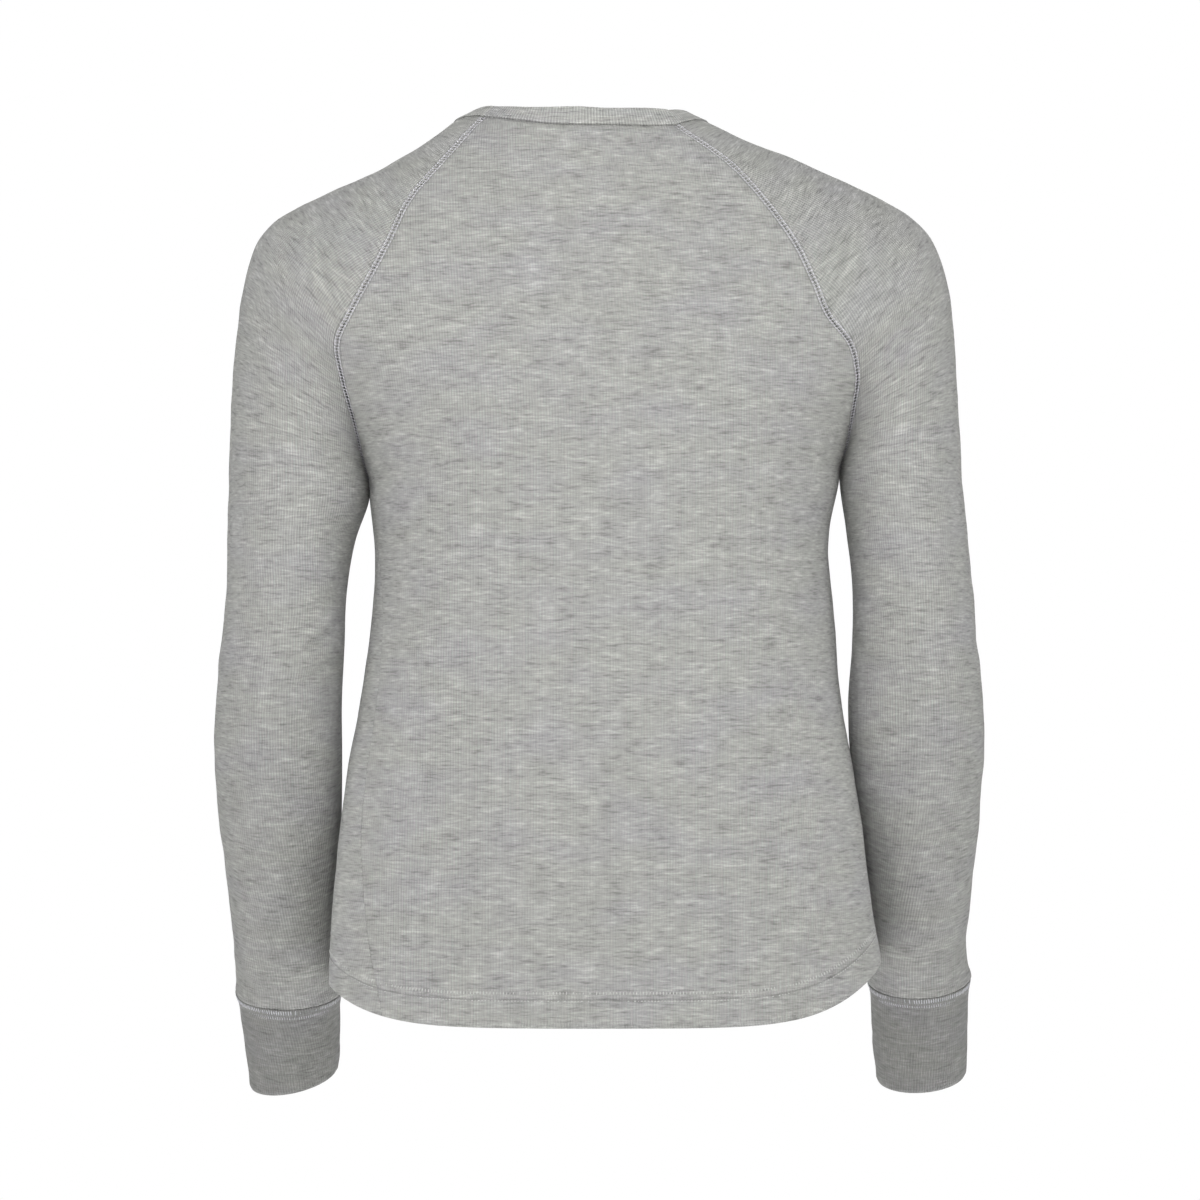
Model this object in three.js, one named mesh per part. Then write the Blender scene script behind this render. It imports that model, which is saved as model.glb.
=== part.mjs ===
// A long-sleeved thermal top with raglan sleeves, as it hangs when it is filled out with no wearer.
// Millimetres, +Z up. The front faces -Y and the wearer's left is +X. The origin is in the neck opening,
// level with the points where the shoulders meet the neckband, which is where a wearer carries the top.
import * as THREE from "three";
import { mergeVertices } from "three/addons/utils/BufferGeometryUtils.js";

// Cloth
const WALL = 1.5; // one layer of rib knit
const DOUBLE = 3; // a folded layer: hem, cuffs and neckband
const SEAM_GAP = 0.3;
const HEM_DEPTH = 18;
const BAND_HEIGHT = 14;
const BAND_LEAN = 31; // how far the neckband leans in at the front and back, in degrees
const BAND_SIDE_LEAN = 68; // the same at the sides
const BAND_LEAN_SPREAD = 0.8; // below 1, the steeper lean spreads from the sides to the front and back
const CLOTH_COLOUR = 0xa9a9a7;

// Length of one step along and around a panel or a sleeve, for placing folds
const PANEL_SPAN = { at: 340, round: 240 };
const SLEEVE_SPAN = { at: 38, round: 157 };
const FOLD_END = 6; // how close to its side seams a fold keeps its depth
const FOLD_TOP = 4; // how quickly a panel's folds deepen below the neckline

// Levels
const UNDERARM_Z = { left: -238, right: -226 };
const HEM_BACK_Z = -575;
const HEM_FRONT_Z = -570;
const HEM_SIDE_Z = { left: -553, right: -538.5 };
const BACK_NECK_DROP = 4; // centre back of the neckline below the raglan seams' tops
const FRONT_NECK_DROP = 46; // the same at the centre front
const NECK_CENTRE_X = 14; // the neck sits a little to the left of the body
const SQUARENESS = 2.3; // of the body's rings, where 2 is an ellipse
const YOKE_TURN = { back: 28, front: 50 }; // how far a row turns to its end at the neck, in degrees
const NECK_ROUNDNESS = 0.6; // how late the neckline rises towards its raglan seams
const HEM_CURVE = 5; // how late the hem rises towards the sides

// Number of faces along each piece
const YOKE_STEPS = 12; // neck to underarm
const BODY_STEPS = 11; // underarm to hem
const BODY_COLUMNS = 24;
const ARM_STEPS = 14; // underarm to cuff
const SLEEVE_COLUMNS = 18;
const CUFF_STEPS = 3;
const BAND_STEPS = 2;

// Centre back and centre front of the body, every 40 mm down from z = 25.
const PROFILE_TOP_Z = 25;
const LEVEL_STEP = 40;
const profile = [
  { back: 48, front: -24 },
  { back: 66, front: -43 },
  { back: 84, front: -62 },
  { back: 96, front: -80 },
  { back: 103, front: -95 },
  { back: 106, front: -105 },
  { back: 105, front: -110 },
  { back: 101, front: -110 },
  { back: 96, front: -107 },
  { back: 92.5, front: -104 },
  { back: 91, front: -102 },
  { back: 92, front: -102 },
  { back: 95.5, front: -103 },
  { back: 101, front: -105 },
  { back: 107, front: -108 },
  { back: 112, front: -111 },
];

// Half widths of the body at even steps from the underarm to the hem, how far back it is widest, and how
// far the knit has twisted, in degrees: the left side seam swings towards the back and the right one
// towards the front.
const girth = [
  { left: 150, right: 156, widest: 0, twist: 0 },
  { left: 146.6, right: 149, widest: 1, twist: 12 },
  { left: 147.5, right: 150, widest: 3, twist: 20 },
  { left: 151.5, right: 153.5, widest: 6, twist: 23 },
  { left: 156.5, right: 155.6, widest: 10, twist: 24 },
  { left: 163, right: 161.2, widest: 15, twist: 25 },
  { left: 168, right: 167, widest: 21, twist: 26.5 },
  { left: 171, right: 171.5, widest: 27, twist: 30 },
  { left: 173.5, right: 175.5, widest: 32, twist: 35 },
  { left: 174, right: 181, widest: 36, twist: 40 },
];

// Each sleeve from the neckband to the underarm, and on to the cuff. A row is one course of the knit:
// crest is the point on the overarm line and root the point midway between the two raglan seams.
// y is the row's middle, reach its half depth, pitch how far its back end is raised, in degrees, and
// wrap how far the cloth goes round from the crest on each side. From 180 on, the row is a closed ring.
const UNDERARM_ROW = 10;
const sleeveRows = {
  left: [
    { crestX: 97, crestZ: 0, rootX: 75, rootZ: -9, y: 2, reach: 54, wrap: 45, pitch: 18 },
    { crestX: 118, crestZ: -14, rootX: 101, rootZ: -36, y: 2, reach: 67, wrap: 52, pitch: 12 },
    { crestX: 143, crestZ: -27.5, rootX: 122, rootZ: -60, y: 3, reach: 75.5, wrap: 58, pitch: 8 },
    { crestX: 171, crestZ: -39.5, rootX: 135, rootZ: -84, y: 3, reach: 80, wrap: 65, pitch: 4 },
    { crestX: 196, crestZ: -50.5, rootX: 148, rootZ: -106, y: 2, reach: 78, wrap: 74, pitch: 2 },
    { crestX: 214.5, crestZ: -62.5, rootX: 160, rootZ: -125, y: 1, reach: 71, wrap: 87, pitch: 0 },
    { crestX: 226.5, crestZ: -81, rootX: 168, rootZ: -143, y: 0, reach: 64, wrap: 103, pitch: 0 },
    { crestX: 233.5, crestZ: -112, rootX: 165, rootZ: -165, y: 0, reach: 59, wrap: 121, pitch: 0 },
    { crestX: 238, crestZ: -150, rootX: 159, rootZ: -189, y: 0, reach: 57.5, wrap: 141, pitch: 0 },
    { crestX: 240.5, crestZ: -192, rootX: 154, rootZ: -213, y: 0, reach: 57, wrap: 161, pitch: 0 },
    { crestX: 242, crestZ: -238, rootX: 150, rootZ: -238, y: 0, reach: 56, wrap: 180, pitch: 0 },
    { crestX: 242.8, crestZ: -268, rootX: 159.5, rootZ: -268, y: 2, reach: 55, wrap: 200, pitch: 0 },
    { crestX: 243, crestZ: -300, rootX: 164.8, rootZ: -300, y: 4, reach: 53, wrap: 200, pitch: 0 },
    { crestX: 246.5, crestZ: -336, rootX: 166.3, rootZ: -336, y: 5, reach: 51, wrap: 200, pitch: 0 },
    { crestX: 250, crestZ: -374, rootX: 168, rootZ: -374, y: 4, reach: 50, wrap: 200, pitch: -3 },
    { crestX: 250.8, crestZ: -414, rootX: 168, rootZ: -414, y: 0, reach: 48.5, wrap: 200, pitch: -8 },
    { crestX: 248, crestZ: -454, rootX: 169, rootZ: -454, y: -8, reach: 46, wrap: 200, pitch: -13 },
    { crestX: 244, crestZ: -494, rootX: 171.5, rootZ: -494, y: -19, reach: 42, wrap: 200, pitch: -16 },
    { crestX: 241.2, crestZ: -532, rootX: 172, rootZ: -532, y: -30, reach: 37.5, wrap: 200, pitch: -17 },
    { crestX: 239.2, crestZ: -563, rootX: 171.6, rootZ: -563, y: -39, reach: 35, wrap: 200, pitch: -17 },
  ],
  right: [
    { crestX: 71, crestZ: 3, rootX: 49, rootZ: -9, y: 4, reach: 57, wrap: 48, pitch: 15 },
    { crestX: 98, crestZ: -11, rootX: 79, rootZ: -36, y: 3, reach: 69, wrap: 54, pitch: 11 },
    { crestX: 127, crestZ: -21.5, rootX: 104.5, rootZ: -60, y: 3, reach: 76, wrap: 60, pitch: 8 },
    { crestX: 158, crestZ: -34.8, rootX: 125.5, rootZ: -84, y: 3, reach: 80.5, wrap: 67, pitch: 4 },
    { crestX: 187, crestZ: -48, rootX: 139.5, rootZ: -106, y: 2, reach: 78, wrap: 75, pitch: 2 },
    { crestX: 208, crestZ: -62, rootX: 149.5, rootZ: -125, y: 1, reach: 71, wrap: 87, pitch: 0 },
    { crestX: 221, crestZ: -82, rootX: 163, rootZ: -143, y: 0, reach: 64, wrap: 103, pitch: 0 },
    { crestX: 228.5, crestZ: -112, rootX: 165, rootZ: -163, y: 0, reach: 59, wrap: 121, pitch: 0 },
    { crestX: 231.7, crestZ: -147, rootX: 163, rootZ: -184, y: 0, reach: 57.5, wrap: 141, pitch: 0 },
    { crestX: 233.5, crestZ: -185, rootX: 160, rootZ: -205, y: 0, reach: 57, wrap: 161, pitch: 0 },
    { crestX: 235.5, crestZ: -226, rootX: 156, rootZ: -226, y: 0, reach: 56.5, wrap: 180, pitch: 0 },
    { crestX: 238.8, crestZ: -262, rootX: 160.5, rootZ: -262, y: 2, reach: 55, wrap: 200, pitch: 0 },
    { crestX: 242.3, crestZ: -298, rootX: 164.3, rootZ: -298, y: 4, reach: 53, wrap: 200, pitch: 0 },
    { crestX: 245.5, crestZ: -336, rootX: 164, rootZ: -336, y: 5, reach: 51, wrap: 200, pitch: 0 },
    { crestX: 249.8, crestZ: -374, rootX: 161.5, rootZ: -374, y: 4, reach: 50, wrap: 200, pitch: -3 },
    { crestX: 250, crestZ: -414, rootX: 163.5, rootZ: -414, y: 0, reach: 48.5, wrap: 200, pitch: -8 },
    { crestX: 247, crestZ: -454, rootX: 168.5, rootZ: -454, y: -8, reach: 46, wrap: 200, pitch: -13 },
    { crestX: 243.3, crestZ: -494, rootX: 173, rootZ: -494, y: -19, reach: 42, wrap: 200, pitch: -16 },
    { crestX: 241, crestZ: -527, rootX: 176, rootZ: -530, y: -29, reach: 37.5, wrap: 200, pitch: -17 },
    { crestX: 243, crestZ: -553.5, rootX: 177.9, rootZ: -557, y: -37, reach: 35, wrap: 200, pitch: -17 },
  ],
};

// The cuffs, from just below their seam to their fold.
const cuffRows = {
  left: [
    { crestX: 237.1, crestZ: -583, rootX: 172, rootZ: -580, y: -45, reach: 33, pitch: -17 },
    { crestX: 234.5, crestZ: -606, rootX: 172.3, rootZ: -599, y: -51.5, reach: 31.5, pitch: -17 },
    { crestX: 232.6, crestZ: -627.5, rootX: 174, rootZ: -617, y: -57, reach: 30.5, pitch: -17 },
  ],
  right: [
    { crestX: 243.4, crestZ: -575, rootX: 179.6, rootZ: -579, y: -44, reach: 33, pitch: -17 },
    { crestX: 243.5, crestZ: -597, rootX: 181.3, rootZ: -601, y: -51, reach: 31.5, pitch: -17 },
    { crestX: 243, crestZ: -619, rootX: 183.5, rootZ: -624, y: -57, reach: 30.5, pitch: -17 },
  ],
};

// The largest folds, as soft troughs, or ridges where the depth is below 0. at and round are the place on
// the piece, as in panelPoint and sleevePoint; long, wide and depth are in mm, and turn is in degrees from
// the piece's length towards growing round.
const folds = {
  back: [
    { at: 1.59, round: 0.57, long: 75, wide: 26, turn: -32, depth: 2.6 },
    { at: 1.5, round: -0.4, long: 80, wide: 28, turn: 30, depth: 2.4 },
    { at: 1.3, round: 0.12, long: 60, wide: 45, turn: 90, depth: 1.6 },
  ],
  front: [
    { at: 1.56, round: 0.5, long: 78, wide: 27, turn: 34, depth: 2.5 },
    { at: 1.48, round: -0.54, long: 70, wide: 26, turn: -30, depth: 2.6 },
    { at: 0.86, round: 0.62, long: 50, wide: 22, turn: -48, depth: 2.2 },
    { at: 0.84, round: -0.6, long: 54, wide: 22, turn: 46, depth: 2.3 },
  ],
  left: [
    { at: 7.1, round: 0.5, long: 40, wide: 20, turn: 35, depth: 2.2 },
    { at: 8.6, round: 0.48, long: 46, wide: 22, turn: 50, depth: 2 },
    { at: 14.3, round: -0.46, long: 34, wide: 18, turn: 78, depth: 3 },
    { at: 15.4, round: 0.4, long: 42, wide: 20, turn: 60, depth: 1.8 },
  ],
  right: [
    { at: 7.3, round: 0.62, long: 42, wide: 20, turn: 40, depth: 2.4 },
    { at: 8.8, round: 0.36, long: 44, wide: 22, turn: 55, depth: 1.8 },
    { at: 14.1, round: -0.5, long: 36, wide: 18, turn: 74, depth: 2.8 },
    { at: 15.7, round: 0.3, long: 40, wide: 20, turn: 62, depth: 1.9 },
  ],
};

const SIGN = { left: 1, right: -1 };
const NO_PULL = new THREE.Vector3();
const NEAR = 0.01; // a small step along a surface
const HEM_STEP = 0.003; // how quickly the wall thickens where the hem is turned up
const SHARPEST_LEAN = 0.5; // keeps the wall from growing too deep along a sharp seam
const DOWN = new THREE.Vector3(0, 0, -1);
const radians = THREE.MathUtils.degToRad;
const clamp = THREE.MathUtils.clamp;
const vector = (x, y, z) => new THREE.Vector3(x, y, z);
const nameOf = (face) => (face > 0 ? "back" : "front");
const steps = (from, to, count) =>
  Array.from({ length: count + 1 }, (_, i) => from + ((to - from) * i) / count);

// A smooth curve through a table's rows, read at a row number that may lie between two rows.
function rowAt(table, at) {
  const last = table.length - 1;
  const i = clamp(Math.floor(at), 0, last - 1);
  const t = at - i;
  const near = [i - 1, i, i + 1, i + 2].map((k) => table[clamp(k, 0, last)]);
  const row = {};
  for (const key of Object.keys(table[i])) {
    const [a, b, c, d] = near.map((entry) => entry[key]);
    row[key] = b + 0.5 * t * (c - a + t * (2 * a - 5 * b + 4 * c - d + t * (3 * (b - c) + d - a)));
  }
  return row;
}

// A point of one sleeve or cuff. angle runs from the crest, positive towards the back.
function ringPoint(side, row, wrap, angle) {
  const crest = vector(SIGN[side] * row.crestX, row.y, row.crestZ);
  const root = vector(SIGN[side] * row.rootX, row.y, row.rootZ);
  const outward = crest.sub(root);
  const height = outward.length();
  const half = height / (1 - Math.cos(wrap));
  const across = vector(0, Math.cos(radians(row.pitch)), Math.sin(radians(row.pitch)));
  return root
    .addScaledVector(outward.normalize(), height - half + half * Math.cos(angle))
    .addScaledVector(across, row.reach * Math.sin(angle));
}

// A point of a sleeve. around runs from -1 at the front raglan seam, over the crest at 0, to 1 at the
// back one, and below the underarm both ends are the underarm seam.
function sleevePoint(side, at, around) {
  const row = rowAt(sleeveRows[side], at);
  const wrap = radians(Math.min(180, row.wrap));
  return ringPoint(side, row, wrap, around * wrap);
}

function cuffPoint(side, at, around) {
  const rows = [sleeveRows[side].at(-1), ...cuffRows[side].map((row) => ({ ...row, wrap: 180 }))];
  return ringPoint(side, rowAt(rows, at), Math.PI, around * Math.PI);
}

const profileAt = (z) => rowAt(profile, (PROFILE_TOP_Z - z) / LEVEL_STEP);
const girthAt = (down) => rowAt(girth, down * (girth.length - 1));
const squared = (value) => Math.sign(value) * Math.abs(value) ** (2 / SQUARENESS);

// A body row above the underarm, from one raglan seam to the other. face is 1 for the back panel and
// -1 for the front one; across runs from -1 at the right seam to 1 at the left seam.
function yokePoint(face, down, across) {
  const [left, right] = ["left", "right"].map((side) => sleevePoint(side, down * UNDERARM_ROW, face));
  const edge = across >= 0 ? left : right;
  const drop = face > 0 ? BACK_NECK_DROP : FRONT_NECK_DROP;
  const level = (left.z + right.z) / 2 - drop * (1 - down) ** 2;
  const centreX = NECK_CENTRE_X * (1 - down) ** 2;
  const centreY = face > 0 ? profileAt(level).back : profileAt(level).front;
  const neckTurn = YOKE_TURN[nameOf(face)];
  const turn = radians(neckTurn + (90 - neckTurn) * down ** 2);
  const angle = Math.abs(across) * turn;
  const share = squared(Math.sin(angle)) / squared(Math.sin(turn));
  const depth = (1 - squared(Math.cos(angle))) / (1 - squared(Math.cos(turn)));
  return vector(
    centreX + (edge.x - centreX) * share,
    centreY + (edge.y - centreY) * depth,
    level + (edge.z - level) * share ** (2 + NECK_ROUNDNESS * (1 - down)),
  );
}

// A level that has one value at each side of the body and a third one in between.
function levelAt(angle, sides, middle, power) {
  const side = Math.sin(angle) > 0 ? sides.left : sides.right;
  return middle + (side - middle) * Math.abs(Math.sin(angle)) ** power;
}

// The body below the underarm. angle runs from the centre back, positive towards the left. The hem is
// lowest at the centre and rises in a curve at each side.
function bodyPoint(down, angle) {
  const top = levelAt(angle, UNDERARM_Z, (UNDERARM_Z.left + UNDERARM_Z.right) / 2, 4 / SQUARENESS);
  const hem = levelAt(angle, HEM_SIDE_Z, Math.cos(angle) > 0 ? HEM_BACK_Z : HEM_FRONT_Z, HEM_CURVE);
  const z = top + (hem - top) * down;
  const wide = girthAt(down);
  const deep = profileAt(z);
  const halfWidth = Math.sin(angle) > 0 ? wide.left : wide.right;
  const halfDepth = Math.cos(angle) > 0 ? deep.back - wide.widest : wide.widest - deep.front;
  const x = halfWidth * squared(Math.sin(angle));
  return vector(x, wide.widest + halfDepth * squared(Math.cos(angle)), z);
}

// A point of the back or front panel. at runs from 0 at the neckline to 1 at the underarm and 2 at the hem.
function panelPoint(face, at, across) {
  if (at <= 1) return yokePoint(face, at, across);
  const side = across >= 0 ? 1 : -1;
  const seam = radians(90 - side * girthAt(at - 1).twist);
  const angle = face > 0 ? across * seam : side * Math.PI - across * (Math.PI - seam);
  return bodyPoint(at - 1, angle);
}

// The way out of a surface whose parameters are u and v, with v from -1 to 1.
function normalOf(surface, u, v, sign, lastU) {
  const step = 0.01;
  const alongU = surface(Math.min(lastU, u + step), v).sub(surface(Math.max(0, u - step), v));
  const alongV = surface(u, Math.min(1, v + step)).sub(surface(u, Math.max(-1, v - step)));
  return alongU.cross(alongV).normalize().multiplyScalar(sign);
}

const panelNormal = (face, at, across) =>
  normalOf((u, v) => panelPoint(face, u, v), at, across, -face, 2);
const sleeveNormal = (side, at, around) =>
  normalOf((u, v) => sleevePoint(side, u, v), at, around, SIGN[side], sleeveRows[side].length - 1);

// How deep the folds are at a place, where span is the length in mm of one step of at and of round. They
// die out towards the seams.
function foldDepth(table, span, at, round) {
  let depth = 0;
  for (const fold of table) {
    const downwards = (at - fold.at) * span.at;
    const sideways = (round - fold.round) * span.round;
    const turn = radians(fold.turn);
    const along = downwards * Math.cos(turn) + sideways * Math.sin(turn);
    const across = sideways * Math.cos(turn) - downwards * Math.sin(turn);
    depth += fold.depth * Math.exp(-((along / fold.long) ** 2) - (across / fold.wide) ** 2);
  }
  return depth * (1 - round ** FOLD_END);
}

const foldedPanel = (face, at, across) =>
  panelPoint(face, at, across).addScaledVector(
    panelNormal(face, at, across),
    -foldDepth(folds[nameOf(face)], PANEL_SPAN, at, across) * Math.min(1, FOLD_TOP * at),
  );
const foldedSleeve = (side, at, around) =>
  sleevePoint(side, at, around).addScaledVector(
    sleeveNormal(side, at, around),
    -foldDepth(folds[side], SLEEVE_SPAN, at, around),
  );

// Both sides of a raglan seam turn in along the same direction, halfway between the two pieces.
function raglanOut(side, face, down) {
  if (down >= 1) return DOWN.clone();
  const panel = panelNormal(face, down, SIGN[side]);
  return panel.add(sleeveNormal(side, down * UNDERARM_ROW, face)).normalize();
}

// Half of the seam's gap, from a seam's point towards the inside of the piece.
function pull(along, out, towards) {
  const across = along.clone().cross(out).normalize();
  return across.multiplyScalar(across.dot(towards) < 0 ? -SEAM_GAP / 2 : SEAM_GAP / 2);
}

// One closed piece of cloth from rows of outer points and the matching inner points. From the row
// ringFrom on, a row's last point is its first one, so the piece is a tube there.
function clothMesh(name, colour, outer, inner, ringFrom = Infinity) {
  const corners = [];
  const lastRow = outer.length - 1;
  const lastColumn = outer[0].length - 1;
  const quad = (a, b, c, d) => corners.push(a, b, c, a, c, d);
  for (let i = 0; i < lastRow; i++) {
    for (let j = 0; j < lastColumn; j++) {
      quad(outer[i][j], outer[i + 1][j], outer[i + 1][j + 1], outer[i][j + 1]);
      quad(inner[i][j], inner[i][j + 1], inner[i + 1][j + 1], inner[i + 1][j]);
    }
    if (i >= ringFrom) continue;
    quad(outer[i][0], inner[i][0], inner[i + 1][0], outer[i + 1][0]);
    quad(outer[i][lastColumn], outer[i + 1][lastColumn], inner[i + 1][lastColumn], inner[i][lastColumn]);
  }
  for (let j = 0; j < lastColumn; j++) {
    quad(outer[0][j], outer[0][j + 1], inner[0][j + 1], inner[0][j]);
    quad(outer[lastRow][j], inner[lastRow][j], inner[lastRow][j + 1], outer[lastRow][j + 1]);
  }
  const soup = new THREE.BufferGeometry();
  soup.setAttribute("position", new THREE.Float32BufferAttribute(corners.flatMap((p) => p.toArray()), 3));
  const geometry = mergeVertices(soup);
  geometry.computeVertexNormals();
  const material = new THREE.MeshStandardMaterial({ color: colour, roughness: 0.95, metalness: 0 });
  const mesh = new THREE.Mesh(geometry, material);
  mesh.name = name;
  return mesh;
}

// Turns a piece's rows and columns into outer and inner points. edge(u, v) gives the way out of the cloth
// and the pull away from the neighbour where there is a seam; elsewhere it gives nothing.
function clothPiece({ name, colour, rows, columns, point, normal, edge, thickness, flip, ringFrom }) {
  const outer = [];
  const inner = [];
  for (const u of rows) {
    const outerRow = [];
    const innerRow = [];
    for (const v of columns) {
      const { out, inset } = edge(u, v) ?? { out: normal(u, v), inset: NO_PULL };
      const lean = Math.max(SHARPEST_LEAN, out.dot(normal(u, v)));
      const face = point(u, v).add(inset);
      outerRow.push(face);
      innerRow.push(face.clone().addScaledVector(out, -thickness(u) / lean));
    }
    outer.push(flip ? outerRow.reverse() : outerRow);
    inner.push(flip ? innerRow.reverse() : innerRow);
  }
  for (let i = ringFrom ?? Infinity; i < outer.length; i++) {
    outer[i][columns.length - 1] = outer[i][0];
    inner[i][columns.length - 1] = inner[i][0];
  }
  return clothMesh(name, colour, outer, inner, ringFrom);
}

const slope = (surface, from, to) => surface(to).sub(surface(from));

// Where a panel meets a sleeve, the other panel or the neckband.
function panelEdge(face, u, v) {
  const atSide = Math.abs(v) === 1;
  if (!atSide && u > 0) return null;
  const here = panelPoint(face, u, v);
  const out = atSide && u <= 1 ? raglanOut(v > 0 ? "left" : "right", face, u) : panelNormal(face, u, v);
  const inset = vector(0, 0, 0);
  if (atSide) {
    const along = slope((t) => panelPoint(face, t, v), Math.max(0, u - NEAR), Math.min(2, u + NEAR));
    const inward = slope((t) => panelPoint(face, u, t), v, v * (1 - NEAR));
    const corner = vector(-v, face, 0).multiplyScalar(SEAM_GAP / 2);
    inset.add(u === 1 ? corner : pull(along, out, inward));
  }
  if (u === 0) {
    const along = slope((t) => panelPoint(face, 0, t), Math.max(-1, v - NEAR), Math.min(1, v + NEAR));
    inset.add(pull(along, out, panelPoint(face, NEAR, v).sub(here)));
  }
  return { out, inset };
}

// Where a sleeve meets the panels, the neckband or its cuff. u counts rows of the sleeve's table.
function sleeveEdge(side, u, v) {
  const lastRow = sleeveRows[side].length - 1;
  const atSide = Math.abs(v) === 1 && u <= UNDERARM_ROW;
  if (!atSide && u > 0 && u < lastRow) return null;
  const here = sleevePoint(side, u, v);
  const out = atSide ? raglanOut(side, v, u / UNDERARM_ROW) : sleeveNormal(side, u, v);
  const inset = vector(0, 0, 0);
  if (atSide) {
    const along = slope((t) => sleevePoint(side, t, v), Math.max(0, u - NEAR), u + NEAR);
    const inward = slope((t) => sleevePoint(side, u, t), v, v * (1 - NEAR));
    inset.add(u === UNDERARM_ROW ? vector((SIGN[side] * SEAM_GAP) / 2, 0, 0) : pull(along, out, inward));
  }
  if (u === 0 || u === lastRow) {
    const along = slope((t) => sleevePoint(side, u, t), Math.max(-1, v - NEAR), Math.min(1, v + NEAR));
    const inside = sleevePoint(side, u === 0 ? NEAR : lastRow - NEAR, v);
    inset.add(pull(along, out, inside.sub(here)));
  }
  return { out, inset };
}

function panel(face) {
  const hemTop = 2 - HEM_DEPTH / (UNDERARM_Z.right - HEM_BACK_Z);
  const rows = [...steps(0, 1, YOKE_STEPS), ...steps(1, hemTop, BODY_STEPS).slice(1), hemTop + HEM_STEP, 2];
  return clothPiece({
    name: `${nameOf(face)}_panel`,
    colour: CLOTH_COLOUR,
    rows,
    columns: steps(-1, 1, BODY_COLUMNS),
    point: (u, v) => foldedPanel(face, u, v),
    normal: (u, v) => panelNormal(face, u, v),
    edge: (u, v) => panelEdge(face, u, v),
    thickness: (u) => (u > hemTop ? DOUBLE : WALL),
    flip: face > 0,
  });
}

function sleeve(side) {
  const lastRow = sleeveRows[side].length - 1;
  return clothPiece({
    name: `sleeve_${side}`,
    colour: CLOTH_COLOUR,
    rows: [...steps(0, UNDERARM_ROW, YOKE_STEPS), ...steps(UNDERARM_ROW, lastRow, ARM_STEPS).slice(1)],
    columns: steps(-1, 1, SLEEVE_COLUMNS),
    point: (u, v) => foldedSleeve(side, u, v),
    normal: (u, v) => sleeveNormal(side, u, v),
    edge: (u, v) => sleeveEdge(side, u, v),
    thickness: () => WALL,
    flip: side === "right",
    ringFrom: YOKE_STEPS,
  });
}

function cuff(side) {
  const lastRow = cuffRows[side].length;
  const point = (u, v) => cuffPoint(side, u, v);
  const normal = (u, v) => normalOf(point, u, v, SIGN[side], lastRow);
  const seam = (u, v) => {
    if (u > 0) return null;
    const along = slope((t) => point(0, t), Math.max(-1, v - NEAR), Math.min(1, v + NEAR));
    return { out: normal(0, v), inset: pull(along, normal(0, v), point(NEAR, v).sub(point(0, v))) };
  };
  return clothPiece({
    name: `cuff_${side}`,
    colour: CLOTH_COLOUR,
    rows: steps(0, lastRow, CUFF_STEPS),
    columns: steps(-1, 1, SLEEVE_COLUMNS),
    point,
    normal,
    edge: seam,
    thickness: () => DOUBLE,
    flip: side === "right",
    ringFrom: 0,
  });
}

// The neckline, anticlockwise from above, starting at the left raglan seam of the back: its points, the
// way out of the cloth there and the way from the piece below towards the band.
function neckline() {
  const across = steps(-1, 1, BODY_COLUMNS);
  const around = steps(-1, 1, SLEEVE_COLUMNS);
  const backwards = (list) => [...list].reverse();
  const onPanel = (face, v) => ({ at: panelPoint(face, 0, v), ...panelEdge(face, 0, v) });
  const onSleeve = (side, v) => ({ at: sleevePoint(side, 0, v), ...sleeveEdge(side, 0, v) });
  return [
    ...backwards(across).slice(0, -1).map((v) => onPanel(1, v)),
    ...backwards(around).slice(0, -1).map((v) => onSleeve("right", v)),
    ...across.slice(0, -1).map((v) => onPanel(-1, v)),
    ...around.slice(0, -1).map((v) => onSleeve("left", v)),
  ];
}

// The neckband stands on the neckline and leans in over it, more at the sides than at front and back.
function neckband() {
  const loop = neckline();
  const centre = loop.reduce((sum, { at }) => sum.add(at), vector(0, 0, 0)).divideScalar(loop.length);
  const outer = [];
  const inner = [];
  for (const rise of steps(1, 0, BAND_STEPS)) {
    const rings = loop.map(({ at, out }, k) => {
      const along = loop[(k + 1) % loop.length].at.clone().sub(loop.at(k - 1).at).normalize();
      const inward = vector(-along.y, along.x, 0).normalize();
      if (inward.dot(centre.clone().sub(at)) < 0) inward.negate();
      const sideways = Math.abs(inward.x);
      const lean = radians(BAND_LEAN + (BAND_SIDE_LEAN - BAND_LEAN) * sideways ** BAND_LEAN_SPREAD);
      const up = inward.clone().multiplyScalar(Math.sin(lean)).add(vector(0, 0, Math.cos(lean)));
      const start = pull(along, out, up);
      const face = at.clone().add(start).addScaledVector(up, BAND_HEIGHT * rise);
      const bandOut = along.clone().cross(up).normalize();
      if (bandOut.dot(inward) > 0) bandOut.negate();
      const turned = out.clone().lerp(bandOut, rise).normalize();
      return { face, back: face.clone().addScaledVector(turned, -DOUBLE) };
    });
    outer.push([...rings, rings[0]].map(({ face }) => face));
    inner.push([...rings, rings[0]].map(({ back }) => back));
  }
  return clothMesh("neckband", CLOTH_COLOUR, outer, inner, 0);
}

const garment = new THREE.Group();
garment.add(panel(1), panel(-1), sleeve("left"), sleeve("right"), cuff("left"), cuff("right"), neckband());

export default garment;
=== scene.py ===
# %% [markdown]
# A thermal top in light grey marl rib knit, with raglan sleeves, a round neckband, long cuffs and a curved
# hem. It is filled out as if worn, with nobody in it.
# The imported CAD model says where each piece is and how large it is. This lesson makes each cloth piece again
# with fine folds, adds the sewing, and gives the knit its ribs and its marl. Blender could sew and simulate
# such a top from flat pieces, but its outline would be left to chance. Here each piece is a grid laid on the
# same curves as the CAD piece, so it fits without any adjustment.

# %% Load the CAD model
import math

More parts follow.
